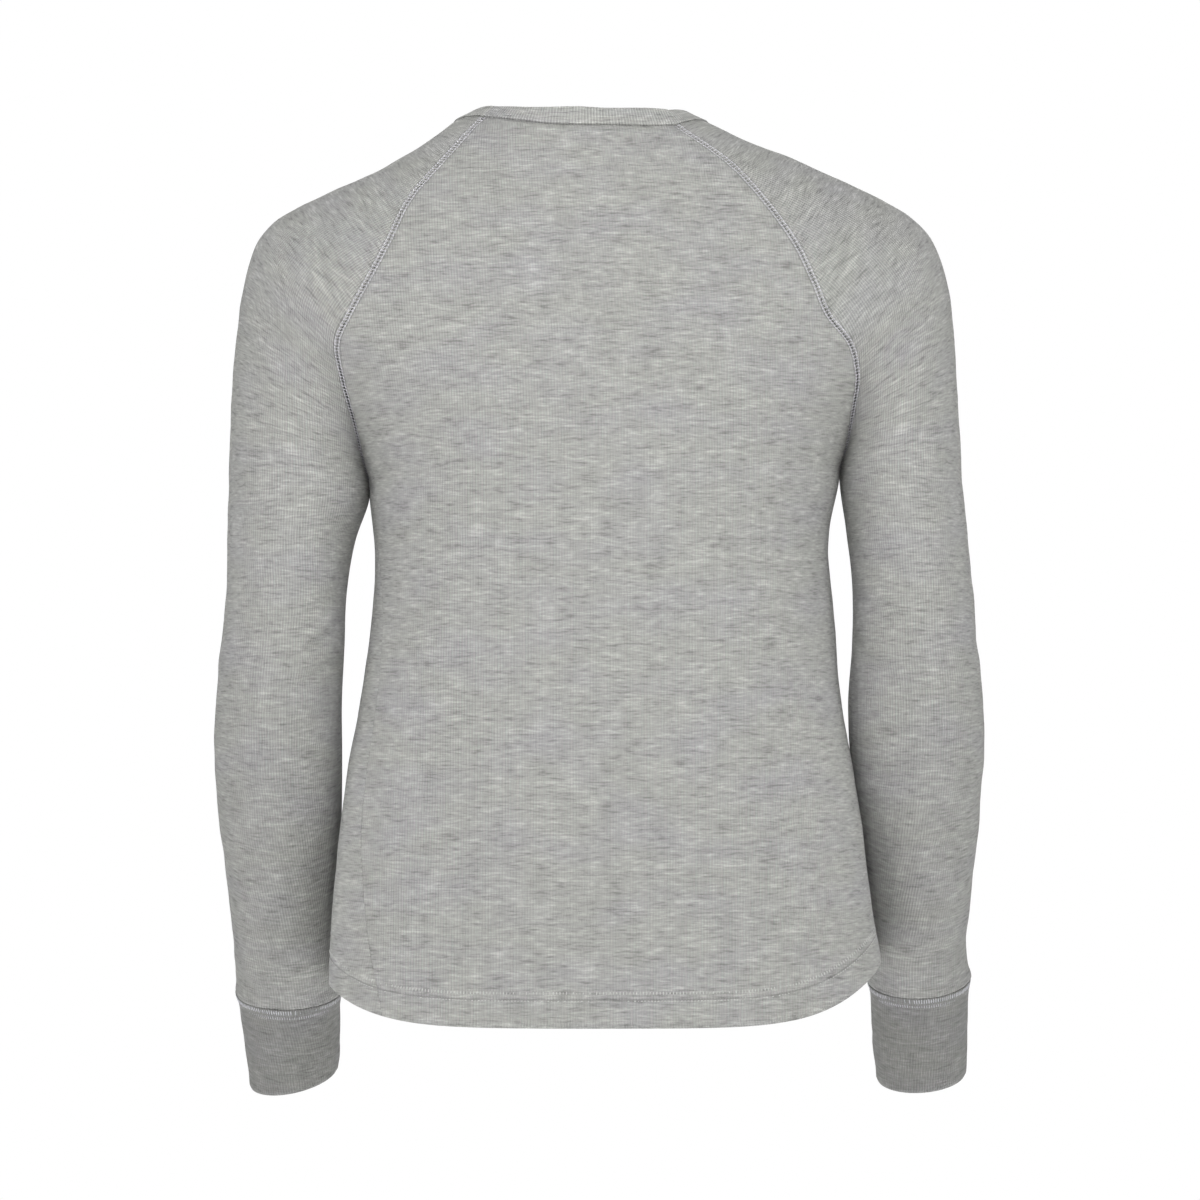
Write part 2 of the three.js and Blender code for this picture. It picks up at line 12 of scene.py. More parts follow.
import bmesh
import bpy
import numpy as np
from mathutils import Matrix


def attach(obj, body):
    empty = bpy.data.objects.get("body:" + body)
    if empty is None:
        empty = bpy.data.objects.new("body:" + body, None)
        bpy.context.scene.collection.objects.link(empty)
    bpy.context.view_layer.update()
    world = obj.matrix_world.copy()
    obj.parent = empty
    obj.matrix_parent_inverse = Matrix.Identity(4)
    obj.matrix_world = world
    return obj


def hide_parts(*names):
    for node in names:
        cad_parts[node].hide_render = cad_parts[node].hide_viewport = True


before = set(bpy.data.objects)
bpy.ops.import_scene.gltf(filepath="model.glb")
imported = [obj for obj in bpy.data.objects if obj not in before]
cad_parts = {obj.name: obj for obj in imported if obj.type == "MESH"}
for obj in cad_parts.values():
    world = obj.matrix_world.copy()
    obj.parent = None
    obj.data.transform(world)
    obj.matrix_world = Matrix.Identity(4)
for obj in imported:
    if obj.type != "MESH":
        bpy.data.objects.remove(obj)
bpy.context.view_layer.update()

# %% [markdown]
# The camera stands straight behind the top, level with its middle and three metres away. A long lens keeps
# the near and the far side of the top almost the same size, as in a catalogue picture.

# %% Camera
VIEW_DISTANCE = 3.0
VIEW_WIDTH = 0.782
VIEW_LEVEL = -0.306
SENSOR = 36

lens = bpy.data.cameras.new("camera")
lens.sensor_width = SENSOR
lens.lens = SENSOR * VIEW_DISTANCE / VIEW_WIDTH
camera = bpy.data.objects.new("camera", lens)
camera.location = (0, VIEW_DISTANCE, VIEW_LEVEL)
camera.rotation_euler = (math.radians(90), 0, math.radians(180))
bpy.context.scene.collection.objects.link(camera)
bpy.context.scene.camera = camera
print("focal length in mm:", round(lens.lens, 1))

# %% [markdown]
# Shader nodes are easier to read as sums than as a wiring plan. This small class wraps one socket of a
# node, so that an expression such as 1 - mask adds the Math nodes by itself.

# %% Sums of sockets
class Wire:
    """One output socket, with Python's operators."""

    def __init__(self, shader, socket):
        self.shader = shader
        self.socket = socket

    def math(self, operation, *others):
        settings = {"operation": operation}
        return self.shader.node("ShaderNodeMath", settings, {0: self, **dict(enumerate(others, 1))})

    def __add__(self, other):
        return self.math("ADD", other)

    def __sub__(self, other):
        return self.math("SUBTRACT", other)

    def __mul__(self, other):
        return self.math("MULTIPLY", other)

    def __truediv__(self, other):
        return self.math("DIVIDE", other)

    def __rsub__(self, other):
        return self.shader.node("ShaderNodeMath", {"operation": "SUBTRACT"}, {0: other, 1: self})


class Shader:
    """The nodes of one material."""

    def __init__(self, name):
        self.material = bpy.data.materials.new(name)
        self.material.use_nodes = True
        self.tree = self.material.node_tree
        self.surface = self.tree.nodes["Principled BSDF"]

    def fill(self, node, values):
        for key, value in values.items():
            if isinstance(value, Wire):
                self.tree.links.new(value.socket, node.inputs[key])
            else:
                node.inputs[key].default_value = value

    def node(self, kind, settings, values, output=0):
        node = self.tree.nodes.new(kind)
        for key, value in settings.items():
            if key == "stops":
                self.stops(node.color_ramp, value)
            else:
                setattr(node, key, value)
        self.fill(node, values)
        return Wire(self, node.outputs[output])

    def stops(self, ramp, stops):
        while len(ramp.elements) < len(stops):
            ramp.elements.new(0.5)
        for element, (position, colour) in zip(ramp.elements, stops):
            element.position = position
            element.color = colour


print("shader helpers are ready")

# %% [markdown]
# A pale floor lies well below the hem and softly lights the cuffs, as a sheet of white paper does in a
# studio. The top is looked at from every side, from below as well, so the floor only gives light and the
# camera doesn't see it. For the same reason there is no wall behind the top.

# %% Floor
FLOOR_LEVEL = -0.95
FLOOR_SIZE = 5.0

floor = bmesh.new()
bmesh.ops.create_grid(floor, x_segments=4, y_segments=4, size=FLOOR_SIZE)
bmesh.ops.translate(floor, verts=floor.verts, vec=(0, 0, FLOOR_LEVEL))
floor_mesh = bpy.data.meshes.new("floor")
floor.to_mesh(floor_mesh)
floor.free()
stage = bpy.data.objects.new("floor", floor_mesh)
bpy.context.scene.collection.objects.link(stage)
stage.visible_camera = False

paper = Shader("pale paper")
paper.fill(paper.surface, {
    "Base Color": (0.8, 0.8, 0.8, 1), "Roughness": 0.9,
    "Emission Color": (1, 1, 1, 1), "Emission Strength": 1.0,
})
stage.data.materials.append(paper.material)
print("floor faces:", len(floor_mesh.polygons))

# %% [markdown]
# The light is soft and even. Two wide lamps stand behind the top, far out to the left and the right. Each
# lights the body's back right up to its edge, but the body keeps it off the other sleeve's inner side, so
# the sleeves get dark there. A weak lamp behind the camera and one above the shoulders fill in, and one at
# the front lights the side that the camera doesn't see. The world is white to look at but lights dimly.

# %% Light
WORLD_SEEN = 1.0
WORLD_LIGHT = 0.04
LAMPS = [
    # name, place, aim, size in metres, watts
    ("key", (0.0, 3.6, 0.5), (0, 0, -0.25), 2.6, 4),
    ("left", (2.9, 1.9, 0.4), (0, 0, -0.25), 1.6, 24.5),
    ("right", (-2.9, 1.9, 0.4), (0, 0, -0.25), 1.6, 24.5),
    ("top", (0.0, 1.5, 1.8), (0, 0, -0.05), 1.0, 50),
    ("front", (0.0, -3.4, 0.8), (0, 0, -0.25), 2.6, 60),
]

world = bpy.data.worlds.new("world")
world.use_nodes = True
background = world.node_tree.nodes["Background"]
background.inputs["Color"].default_value = (1, 1, 1, 1)
seen = world.node_tree.nodes.new("ShaderNodeLightPath")
strength = world.node_tree.nodes.new("ShaderNodeMapRange")
strength.inputs["To Min"].default_value = WORLD_LIGHT
strength.inputs["To Max"].default_value = WORLD_SEEN
world.node_tree.links.new(seen.outputs["Is Camera Ray"], strength.inputs["Value"])
world.node_tree.links.new(strength.outputs["Result"], background.inputs["Strength"])
bpy.context.scene.world = world
bpy.context.scene.view_settings.view_transform = "Standard"


def add_lamp(name, place, aim, size, watts):
    lamp_data = bpy.data.lights.new(f"lamp_{name}", "AREA")
    lamp_data.size = size
    lamp_data.energy = watts
    lamp = bpy.data.objects.new(f"lamp_{name}", lamp_data)
    lamp.location = place
    lamp.visible_camera = False
    way = np.subtract(aim, place)
    lamp.rotation_euler = (
        math.atan2(math.hypot(way[0], way[1]), -way[2]), 0, math.atan2(-way[0], way[1]),
    )
    bpy.context.scene.collection.objects.link(lamp)


for lamp_row in LAMPS:
    add_lamp(*lamp_row)
print("lamps:", len(LAMPS))

# %% [markdown]
# The CAD model is drawn from short lists of measures, as a pattern cutter's top is, and this cell repeats
# them in millimetres: how deep and wide the body is at each level, and where each course of knit runs round
# a sleeve. A table reads itself as a smooth curve between its rows.

# %% Measures of the body
MM = 0.001


class Table:
    """Rows of numbers under named columns, read as smooth curves between the rows."""

    def __init__(self, names, rows):
        self.names = names.split()
        self.rows = np.array(rows, float)

    def at(self, place):
        last = len(self.rows) - 1
        place = np.asarray(place, float)
        i = np.clip(np.floor(place).astype(int), 0, last - 1)
        t = (place - i)[..., None]
        a, b, c, d = (self.rows[np.clip(i + k, 0, last)] for k in (-1, 0, 1, 2))
        read = b + 0.5 * t * (c - a + t * (2 * a - 5 * b + 4 * c - d + t * (3 * (b - c) + d - a)))
        return {name: read[..., k] for k, name in enumerate(self.names)}


PROFILE_TOP = 25
LEVEL_STEP = 40
profile = Table("back front", [
    (48, -24), (66, -43), (84, -62), (96, -80), (103, -95), (106, -105), (105, -110), (101, -110),
    (96, -107), (92.5, -104), (91, -102), (92, -102), (95.5, -103), (101, -105), (107, -108), (112, -111),
])
girth = Table("left right widest twist", [
    (150, 156, 0, 0), (146.6, 149, 1, 12), (147.5, 150, 3, 20), (151.5, 153.5, 6, 23),
    (156.5, 155.6, 10, 24), (163, 161.2, 15, 25), (168, 167, 21, 26.5), (171, 171.5, 27, 30),
    (173.5, 175.5, 32, 35), (174, 181, 36, 40),
])
print("body levels:", len(profile.rows), "girths:", len(girth.rows))

# %% Measures of the sleeves
UNDERARM_ROW = 10
SLEEVE_NAMES = "crest_x crest_z root_x root_z y reach wrap pitch"
sleeve_table = {
    "left": Table(SLEEVE_NAMES, [
        (97, 0, 75, -9, 2, 54, 45, 18), (118, -14, 101, -36, 2, 67, 52, 12),
        (143, -27.5, 122, -60, 3, 75.5, 58, 8), (171, -39.5, 135, -84, 3, 80, 65, 4),
        (196, -50.5, 148, -106, 2, 78, 74, 2), (214.5, -62.5, 160, -125, 1, 71, 87, 0),
        (226.5, -81, 168, -143, 0, 64, 103, 0), (233.5, -112, 165, -165, 0, 59, 121, 0),
        (238, -150, 159, -189, 0, 57.5, 141, 0), (240.5, -192, 154, -213, 0, 57, 161, 0),
        (242, -238, 150, -238, 0, 56, 180, 0), (242.8, -268, 159.5, -268, 2, 55, 200, 0),
        (243, -300, 164.8, -300, 4, 53, 200, 0), (246.5, -336, 166.3, -336, 5, 51, 200, 0),
        (250, -374, 168, -374, 4, 50, 200, -3), (250.8, -414, 168, -414, 0, 48.5, 200, -8),
        (248, -454, 169, -454, -8, 46, 200, -13), (244, -494, 171.5, -494, -19, 42, 200, -16),
        (241.2, -532, 172, -532, -30, 37.5, 200, -17), (239.2, -563, 171.6, -563, -39, 35, 200, -17),
    ]),
    "right": Table(SLEEVE_NAMES, [
        (71, 3, 49, -9, 4, 57, 48, 15), (98, -11, 82, -36, 3, 69, 54, 11),
        (127, -21.5, 104.5, -60, 3, 76, 60, 8), (158, -34.8, 124, -84, 3, 80.5, 67, 4),
        (187, -48, 136, -106, 2, 78, 75, 2), (208, -62, 145.5, -125, 1, 71, 87, 0),
        (221, -82, 160, -143, 0, 64, 103, 0), (228.5, -112, 165, -163, 0, 59, 121, 0),
        (231.7, -147, 163, -184, 0, 57.5, 141, 0), (233.5, -185, 160, -205, 0, 57, 161, 0),
        (235.5, -226, 156, -226, 0, 56.5, 180, 0), (238.8, -262, 160.5, -262, 2, 55, 200, 0),
        (242.3, -298, 164.3, -298, 4, 53, 200, 0), (245.5, -336, 164, -336, 5, 51, 200, 0),
        (249.8, -374, 161.5, -374, 4, 50, 200, -3), (250, -414, 163.5, -414, 0, 48.5, 200, -8),
        (247, -454, 168.5, -454, -8, 46, 200, -13), (243.3, -494, 173, -494, -19, 42, 200, -16),
        (241, -527, 176, -530, -29, 37.5, 200, -17), (243, -553.5, 177.9, -557, -37, 35, 200, -17),
    ]),
}
cuff_rows = {
    "left": [
        (237.1, -583, 172, -580, -45, 33, 200, -17), (234.5, -606, 172.3, -599, -51.5, 31.5, 200, -17),
        (232.6, -627.5, 174, -617, -57, 30.5, 200, -17),
    ],
    "right": [
        (243.4, -575, 179.6, -579, -44, 33, 200, -17), (243.5, -597, 181.3, -601, -51, 31.5, 200, -17),
        (243, -619, 183.5, -624, -57, 30.5, 200, -17),
    ],
}
cuff_table = {
    side: Table(SLEEVE_NAMES, [sleeve_table[side].rows[-1], *rows]) for side, rows in cuff_rows.items()
}
print("sleeve courses:", {side: len(table.rows) for side, table in sleeve_table.items()})

# %% [markdown]
# Every course of a sleeve is a ring, or part of one: it is given by its crest on the overarm line, its
# root opposite, and how far it reaches to the front and back. A place on a sleeve is then two numbers, how
# far down the sleeve it is and how far round. The neckline doesn't lie quite level: it is lifted by a few
# millimetres at the left of the back and dips at the right.

# %% Sleeve and cuff surfaces
SIGN = {"left": 1, "right": -1}
NECK_LIFTS = [(68, 28, 2.5), (18, 30, -0.5), (-50, 34, -2.8)]
LIFT_REACH = 24
LIFT_BEHIND = 20


def points(x, y, z):
    return np.stack(np.broadcast_arrays(x, y, z), axis=-1).astype(float)


def size_of(vectors):
    return np.linalg.norm(vectors, axis=-1, keepdims=True)


def bell(distance, reach):
    """1 at no distance, fading to nearly 0 at twice the reach."""
    return np.exp(-((distance / reach) ** 2))


def ring_point(side, row, wrap, angle):
    crest = points(SIGN[side] * row["crest_x"], row["y"], row["crest_z"])
    root = points(SIGN[side] * row["root_x"], row["y"], row["root_z"])
    height = size_of(crest - root)
    half = height / (1 - np.cos(wrap)[..., None])
    pitch = np.radians(row["pitch"])
    across = points(0, np.cos(pitch), np.sin(pitch))
    up = height - half + half * np.cos(angle)[..., None]
    return root + (crest - root) / height * up + across * (row["reach"] * np.sin(angle))[..., None]


def level_sleeve_point(side, at, around):
    row = sleeve_table[side].at(at)
    wrap = np.radians(np.minimum(180, row["wrap"]))
    return ring_point(side, row, wrap, around * wrap)


def lifted(place, lifts):
    """Lifts what is behind and near the neckline by a few mm. A lift is its x, its reach and its height."""
    height = np.zeros(place.shape[:-1])
    for x, reach, high in lifts:
        height += high * bell(place[..., 0] - x, reach)
    near = bell(place[..., 2], LIFT_REACH) * np.clip(place[..., 1] / LIFT_BEHIND, 0, 1)
    return place + points(0, 0, height * near)


def sleeve_point(side, at, around):
    return lifted(level_sleeve_point(side, at, around), NECK_LIFTS)


def cuff_point(side, at, around):
    row = cuff_table[side].at(at)
    return ring_point(side, row, np.full(np.shape(at), math.pi), around * math.pi)


print("left crest at the elbow:", sleeve_point("left", np.array(15.0), np.array(0.0)))

# %% [markdown]
# The back and the front panel share their side seams with each other and their slanting edges with the
# sleeves. Above the underarm a panel's row starts and ends on the two sleeves. Below it the body is one
# squared ring, cut at the side seams, and the seams drift round it because rib knit twists as it hangs.

# %% Body surfaces
UNDERARM = {"left": -238, "right": -226}
HEM_CENTRE = {"back": -575, "front": -570}
HEM_SIDE = {"left": -553, "right": -538.5}
NECK_DROP = {"back": 4, "front": 46}
NECK_CENTRE = 14
SQUARENESS = 2.3
YOKE_TURN = {"back": 28, "front": 50}
NECK_ROUNDNESS = 0.6
HEM_CURVE = 5
FACE = {"back": 1, "front": -1}


def squared(value):
    return np.sign(value) * np.abs(value) ** (2 / SQUARENESS)


def yoke_point(name, down, across):
    """down is 0 at the neckline and 1 at the underarm, across is -1 at the right seam and 1 at the left."""
    face = np.full(down.shape, FACE[name])
    ends = {side: level_sleeve_point(side, down * UNDERARM_ROW, face) for side in SIGN}
    edge = np.where((across >= 0)[..., None], ends["left"], ends["right"])
    rest = (1 - down) ** 2
    level = (ends["left"][..., 2] + ends["right"][..., 2]) / 2 - NECK_DROP[name] * rest
    centre_x = NECK_CENTRE * rest
    centre_y = profile.at((PROFILE_TOP - level) / LEVEL_STEP)[name]
    turn = np.radians(YOKE_TURN[name] + (90 - YOKE_TURN[name]) * down ** 2)
    angle = np.abs(across) * turn
    share = squared(np.sin(angle)) / squared(np.sin(turn))
    depth = (1 - squared(np.cos(angle))) / (1 - squared(np.cos(turn)))
    place = points(
        centre_x + (edge[..., 0] - centre_x) * share,
        centre_y + (edge[..., 1] - centre_y) * depth,
        level + (edge[..., 2] - level) * share ** (2 + NECK_ROUNDNESS * (1 - down)),
    )
    return lifted(place, NECK_LIFTS)


def level_at(angle, sides, middle, power):
    side = np.where(np.sin(angle) > 0, sides["left"], sides["right"])
    return middle + (side - middle) * np.abs(np.sin(angle)) ** power


def body_point(down, angle):
    """down is 0 at the underarm and 1 at the hem, angle runs from the centre back towards the left."""
    top = level_at(angle, UNDERARM, (UNDERARM["left"] + UNDERARM["right"]) / 2, 4 / SQUARENESS)
    behind = np.cos(angle) > 0
    hem = level_at(angle, HEM_SIDE, np.where(behind, HEM_CENTRE["back"], HEM_CENTRE["front"]), HEM_CURVE)
    z = top + (hem - top) * down
    wide = girth.at(down * (len(girth.rows) - 1))
    deep = profile.at((PROFILE_TOP - z) / LEVEL_STEP)
    half_width = np.where(np.sin(angle) > 0, wide["left"], wide["right"])
    half_depth = np.where(behind, deep["back"] - wide["widest"], wide["widest"] - deep["front"])
    return points(
        half_width * squared(np.sin(angle)), wide["widest"] + half_depth * squared(np.cos(angle)), z,
    )


def panel_point(name, at, across):
    """at is 0 at the neckline, 1 at the underarm and 2 at the hem."""
    yoke = yoke_point(name, np.clip(at, 0, 1), across)
    down = np.clip(at - 1, 0, 1)
    side = np.where(across >= 0, 1, -1)
    seam = np.radians(90 - side * girth.at(down * (len(girth.rows) - 1))["twist"])
    if name == "back":
        angle = across * seam
    else:
        angle = side * math.pi - across * (math.pi - seam)
    return np.where((at <= 1)[..., None], yoke, body_point(down, angle))


print("centre back at the hem:", panel_point("back", np.array(2.0), np.array(0.0)))

# %% [markdown]
# Knit that hangs free dents at the waist, drags from the underarm and creases inside the elbow. Cloth
# simulation gives such folds, but not these ones. Here each fold is one row of a table: where it is, how
# long and wide, which way it runs and how deep. It is a soft trough with a low ridge beside it, and its
# line bends a little.

# %% Folds
FOLD_NAMES = "at round long wide turn depth ridge bend"
folds = {
    "back": Table(FOLD_NAMES, [
        (1.59, 0.57, 75, 26, -32, 2.6, 0, 0), (1.5, -0.4, 80, 28, 30, 2.4, 0, 0),
        (1.3, 0.12, 60, 45, 90, 1.6, 0, 0), (0.93, 0.8, 38, 9, -34, 1.0, 0.5, 0.3),
        (0.98, -0.78, 42, 10, 38, 1.1, 0.5, -0.3), (1.12, 0.84, 46, 10, -52, 0.9, 0.6, 0.2),
        (1.16, -0.82, 40, 9, 55, 0.8, 0.6, -0.2), (1.42, 0.8, 52, 12, 64, 0.8, 0.5, 0.3),
        (1.37, -0.74, 48, 13, -60, 0.9, 0.4, -0.2), (0.2, 0.1, 50, 14, 84, 0.5, 0.4, 0.2),
        (0.34, -0.3, 58, 16, 78, 0.5, 0.5, -0.3), (1.78, -0.15, 66, 20, 12, 0.8, 0.4, 0.2),
        (1.84, 0.34, 58, 18, -10, 0.8, 0.5, -0.2), (1.86, -0.66, 50, 16, 8, 0.7, 0.5, 0.3),
    ]),
    "front": Table(FOLD_NAMES, [
        (1.56, 0.5, 78, 27, 34, 2.5, 0, 0), (1.48, -0.54, 70, 26, -30, 2.6, 0, 0),
        (0.86, 0.62, 50, 22, -48, 2.2, 0, 0), (0.84, -0.6, 54, 22, 46, 2.3, 0, 0),
        (0.98, 0.76, 40, 9, -40, 1.1, 0.6, 0.3), (1.02, -0.78, 44, 10, 42, 1.2, 0.5, -0.3),
        (1.18, 0.7, 52, 12, -58, 0.9, 0.5, 0.2), (1.22, -0.66, 48, 11, 60, 0.8, 0.6, -0.2),
        (1.44, 0.16, 60, 18, 84, 0.7, 0.4, 0.2), (1.34, -0.2, 56, 16, 96, 0.6, 0.5, -0.3),
        (1.8, 0.2, 62, 19, -9, 0.8, 0.4, 0.2), (1.82, -0.36, 60, 18, 12, 0.9, 0.5, -0.2),
        (0.5, 0.2, 46, 15, 80, 0.5, 0.4, 0.2), (1.64, 0.78, 44, 13, 40, 0.8, 0.5, 0.3),
    ]),
    "left": Table(FOLD_NAMES, [
        (7.1, 0.5, 40, 20, 35, 2.2, 0, 0), (8.6, 0.48, 46, 22, 50, 2, 0, 0),
        (14.3, -0.46, 34, 18, 78, 3, 0, 0), (15.4, 0.4, 42, 20, 60, 1.8, 0, 0),
        (10.4, 0.66, 36, 8, 48, 1.4, 0.6, 0.3), (11.6, 0.3, 34, 9, 58, 0.9, 0.5, -0.3),
        (12.8, 0.58, 38, 8, 66, 1.2, 0.6, 0.3), (13.6, 0.12, 30, 8, 74, 0.9, 0.5, 0.2),
        (14.6, 0.62, 32, 7, 80, 1.4, 0.6, -0.3), (16.2, 0.56, 28, 6, 84, 1.2, 0.7, 0.3),
        (17.0, 0.24, 26, 6, 96, 0.9, 0.6, -0.2), (17.7, 0.5, 24, 5, 86, 1.2, 0.7, 0.2),
        (18.4, 0.2, 26, 5, 80, 1.0, 0.6, 0.3), (15.0, -0.6, 30, 8, 84, 1.8, 0.6, 0.2),
        (13.7, -0.34, 32, 9, 70, 1.7, 0.5, -0.3), (17.4, -0.4, 28, 7, 88, 1.4, 0.6, 0.3),
        (9.4, -0.5, 40, 10, -40, 1.5, 0.5, 0.3), (11.4, -0.6, 38, 9, -52, 1.4, 0.6, -0.2),
        (12.9, 0.74, 26, 5, 116, 1.6, 0.7, 0.3), (13.5, 0.7, 30, 5.5, 108, 1.6, 0.7, -0.2),
        (14.2, 0.66, 30, 6, 100, 1.5, 0.6, 0.2), (15.3, 0.5, 34, 6, 94, 1.3, 0.6, 0.2),
    ]),
    "right": Table(FOLD_NAMES, [
        (7.3, 0.62, 42, 20, 40, 2.4, 0, 0), (8.8, 0.36, 44, 22, 55, 1.8, 0, 0),
        (14.1, -0.5, 36, 18, 74, 2.8, 0, 0), (15.7, 0.3, 40, 20, 62, 1.9, 0, 0),
        (10.2, 0.7, 38, 8, 44, 1.4, 0.6, -0.3), (11.3, 0.34, 36, 9, 54, 1.0, 0.5, 0.3),
        (12.6, 0.64, 34, 8, 62, 1.2, 0.6, 0.2), (13.8, 0.2, 32, 8, 70, 1.0, 0.6, -0.2),
        (14.9, 0.66, 30, 7, 78, 1.4, 0.6, 0.3), (16.1, 0.44, 28, 6, 88, 1.0, 0.7, -0.3),
        (17.2, 0.6, 26, 6, 80, 1.2, 0.6, 0.2), (17.9, 0.3, 24, 5, 92, 1.0, 0.7, 0.3),
        (18.5, 0.55, 24, 5, 84, 1.0, 0.6, -0.2), (14.8, -0.64, 30, 8, 86, 1.8, 0.6, 0.3),
        (13.4, -0.3, 34, 9, 72, 1.5, 0.5, 0.2), (17.1, -0.44, 28, 7, 84, 1.4, 0.6, -0.3),
        (9.2, -0.54, 40, 10, -44, 1.5, 0.5, -0.3), (11.6, -0.56, 36, 9, -50, 1.4, 0.6, 0.2),
        (12.4, 0.7, 28, 5.5, 112, 1.5, 0.7, -0.3), (13.2, 0.76, 26, 5, 118, 1.5, 0.7, 0.2),
        (14.4, 0.6, 32, 6, 98, 1.4, 0.6, 0.2), (15.5, 0.7, 28, 5, 92, 1.2, 0.7, -0.2),
    ]),
}
PANEL_SPAN = (340, 240)
SLEEVE_SPAN = (38, 157)
FOLD_END = 6
RIDGE_PLACE = 1.5
RIDGE_WIDTH = 1.1


def fold_depth(table, span, at, around):
    """How deep the folds are at a place, in mm. span is the length of one step of at and of around."""
    depth = np.zeros(np.shape(at))
    for at_fold, round_fold, long, wide, turn, deep, ridge, bend in table.rows:
        downwards = (at - at_fold) * span[0]
        sideways = (around - round_fold) * span[1]
        turn = math.radians(turn)
        along = (downwards * math.cos(turn) + sideways * math.sin(turn)) / long
        across = (sideways * math.cos(turn) - downwards * math.sin(turn)) / wide + bend * along ** 2
        trough = bell(across, 1) - ridge * bell(across - RIDGE_PLACE, RIDGE_WIDTH)
        depth += deep * bell(along, 1) * trough
    return depth * away_from_sides(around)


def away_from_sides(around):
    """1 over most of a piece, falling to 0 at its two sides, where it has to meet its neighbours."""
    return 1 - np.abs(around) ** FOLD_END


print("folds:", {name: len(table.rows) for name, table in folds.items()})

# %% [markdown]
# Between the folds the cloth still swells slightly. A few long waves at odd angles give it, always the same
# ones. Along a seam the thread draws the cloth up into short puckers of uneven length.

# %% Swell and puckers
SWELL = Table("length angle phase height", [
    (61, 14, 0.3, 0.16), (47, 71, 1.9, 0.14), (33, -38, 4.1, 0.1), (27, 52, 2.6, 0.08),
    (21, -76, 5.2, 0.06), (17, 24, 3.3, 0.05),
])
WAVE_SHIFT = {"back": 0.4, "front": 2.2, "left": 1.3, "right": -1.3}
CUFF_SHIFT = {"left": 2.1, "right": -2.1}
PUCKER_LENGTH = 9.5
PUCKER_REACH = 7.5
PUCKER_HEIGHT = 0.32
PUCKER_EASE = 2.5
PUCKER_DRIFTS = [
    # length of a drift, how far it goes, how many times it is shifted
    (13, 2.6, 1), (5.3, 1.7, 2),
]
FADE = 0.45
FADE_LENGTH = 37
REACH_CHANGE = 0.4
REACH_LENGTH = 8


def swell(across, down, shift):
    height = np.zeros(np.shape(across))
    for length, angle, phase, high in SWELL.rows:
        angle = math.radians(angle)
        along = across * math.cos(angle) + down * math.sin(angle)
        height += high * np.sin(2 * math.pi * along / length + phase + shift)
    return height


def pucker(along, distance, shift):
    """Height of the puckers at a distance from a seam, at a length along it, all in mm."""
    drifted = along
    for length, height, turns in PUCKER_DRIFTS:
        drifted = drifted + height * np.sin(along / length + turns * shift)
    strength = 1 - FADE + FADE * np.sin(along / FADE_LENGTH + 3 * shift)
    reach = PUCKER_REACH * (1 + REACH_CHANGE * np.sin(along / REACH_LENGTH + shift))
    wave = np.sin(2 * math.pi * drifted / PUCKER_LENGTH)
    return PUCKER_HEIGHT * strength * wave * bell(distance, reach)


print("one pucker:", np.round(pucker(np.arange(0, 12, 2.0), np.zeros(6), 0), 2))

# %% [markdown]
# A cloth piece is a grid of quads moved onto its surface, then copied, turned over and set one wall
# thickness further in, and the two layers are bridged along every free edge. The Solidify modifier would
# do nearly the same, but it can't let two pieces meet at a seam along one shared mitre.

# %% Making cloth
WALL = 1.5
DOUBLE = 3.0
SEAM_GAP = 0.3
FAR = 50


def run_along(grid, axis):
    """How far each point is along its column (axis 0) or its row (axis 1), in mm."""
    steps = size_of(np.diff(grid, axis=axis))[..., 0]
    start = np.zeros_like(np.take(steps, [0], axis=axis))
    return np.concatenate([start, np.cumsum(steps, axis=axis)], axis=axis)


def across_and_down(surface):
    """How far each point of a grid is from the grid's middle column and from its first row, in mm."""
    across = run_along(surface, 1)
    return across - across[:, [surface.shape[1] // 2]], run_along(surface, 0)


def from_sides(across):
    return np.minimum(across - across[:, [0]], across[:, [-1]] - across)


def way_out(surface, outward, closed=False):
    """The unit normals of a grid of points, on the side that outward points to."""
    padded = surface
    if closed:
        padded = np.concatenate([surface[:, [-2]], surface, surface[:, [1]]], axis=1)
    along_rows = np.gradient(padded, axis=1)
    along_columns = np.gradient(padded, axis=0)
    normals = np.cross(along_rows, along_columns)
    if closed:
        normals = normals[:, 1:-1]
    normals /= np.maximum(size_of(normals), 1e-9)
    if (normals * outward).sum() < 0:
        normals = -normals
    return normals


def finish_piece(name, bm, material):
    mesh = bpy.data.meshes.new(name)
    bm.to_mesh(mesh)
    bm.free()
    for polygon in mesh.polygons:
        polygon.use_smooth = True
    mesh.materials.append(material)
    piece = bpy.data.objects.new(name, mesh)
    bpy.context.scene.collection.objects.link(piece)
    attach(piece, "root")
    print(name, "faces:", len(mesh.polygons))
    return piece


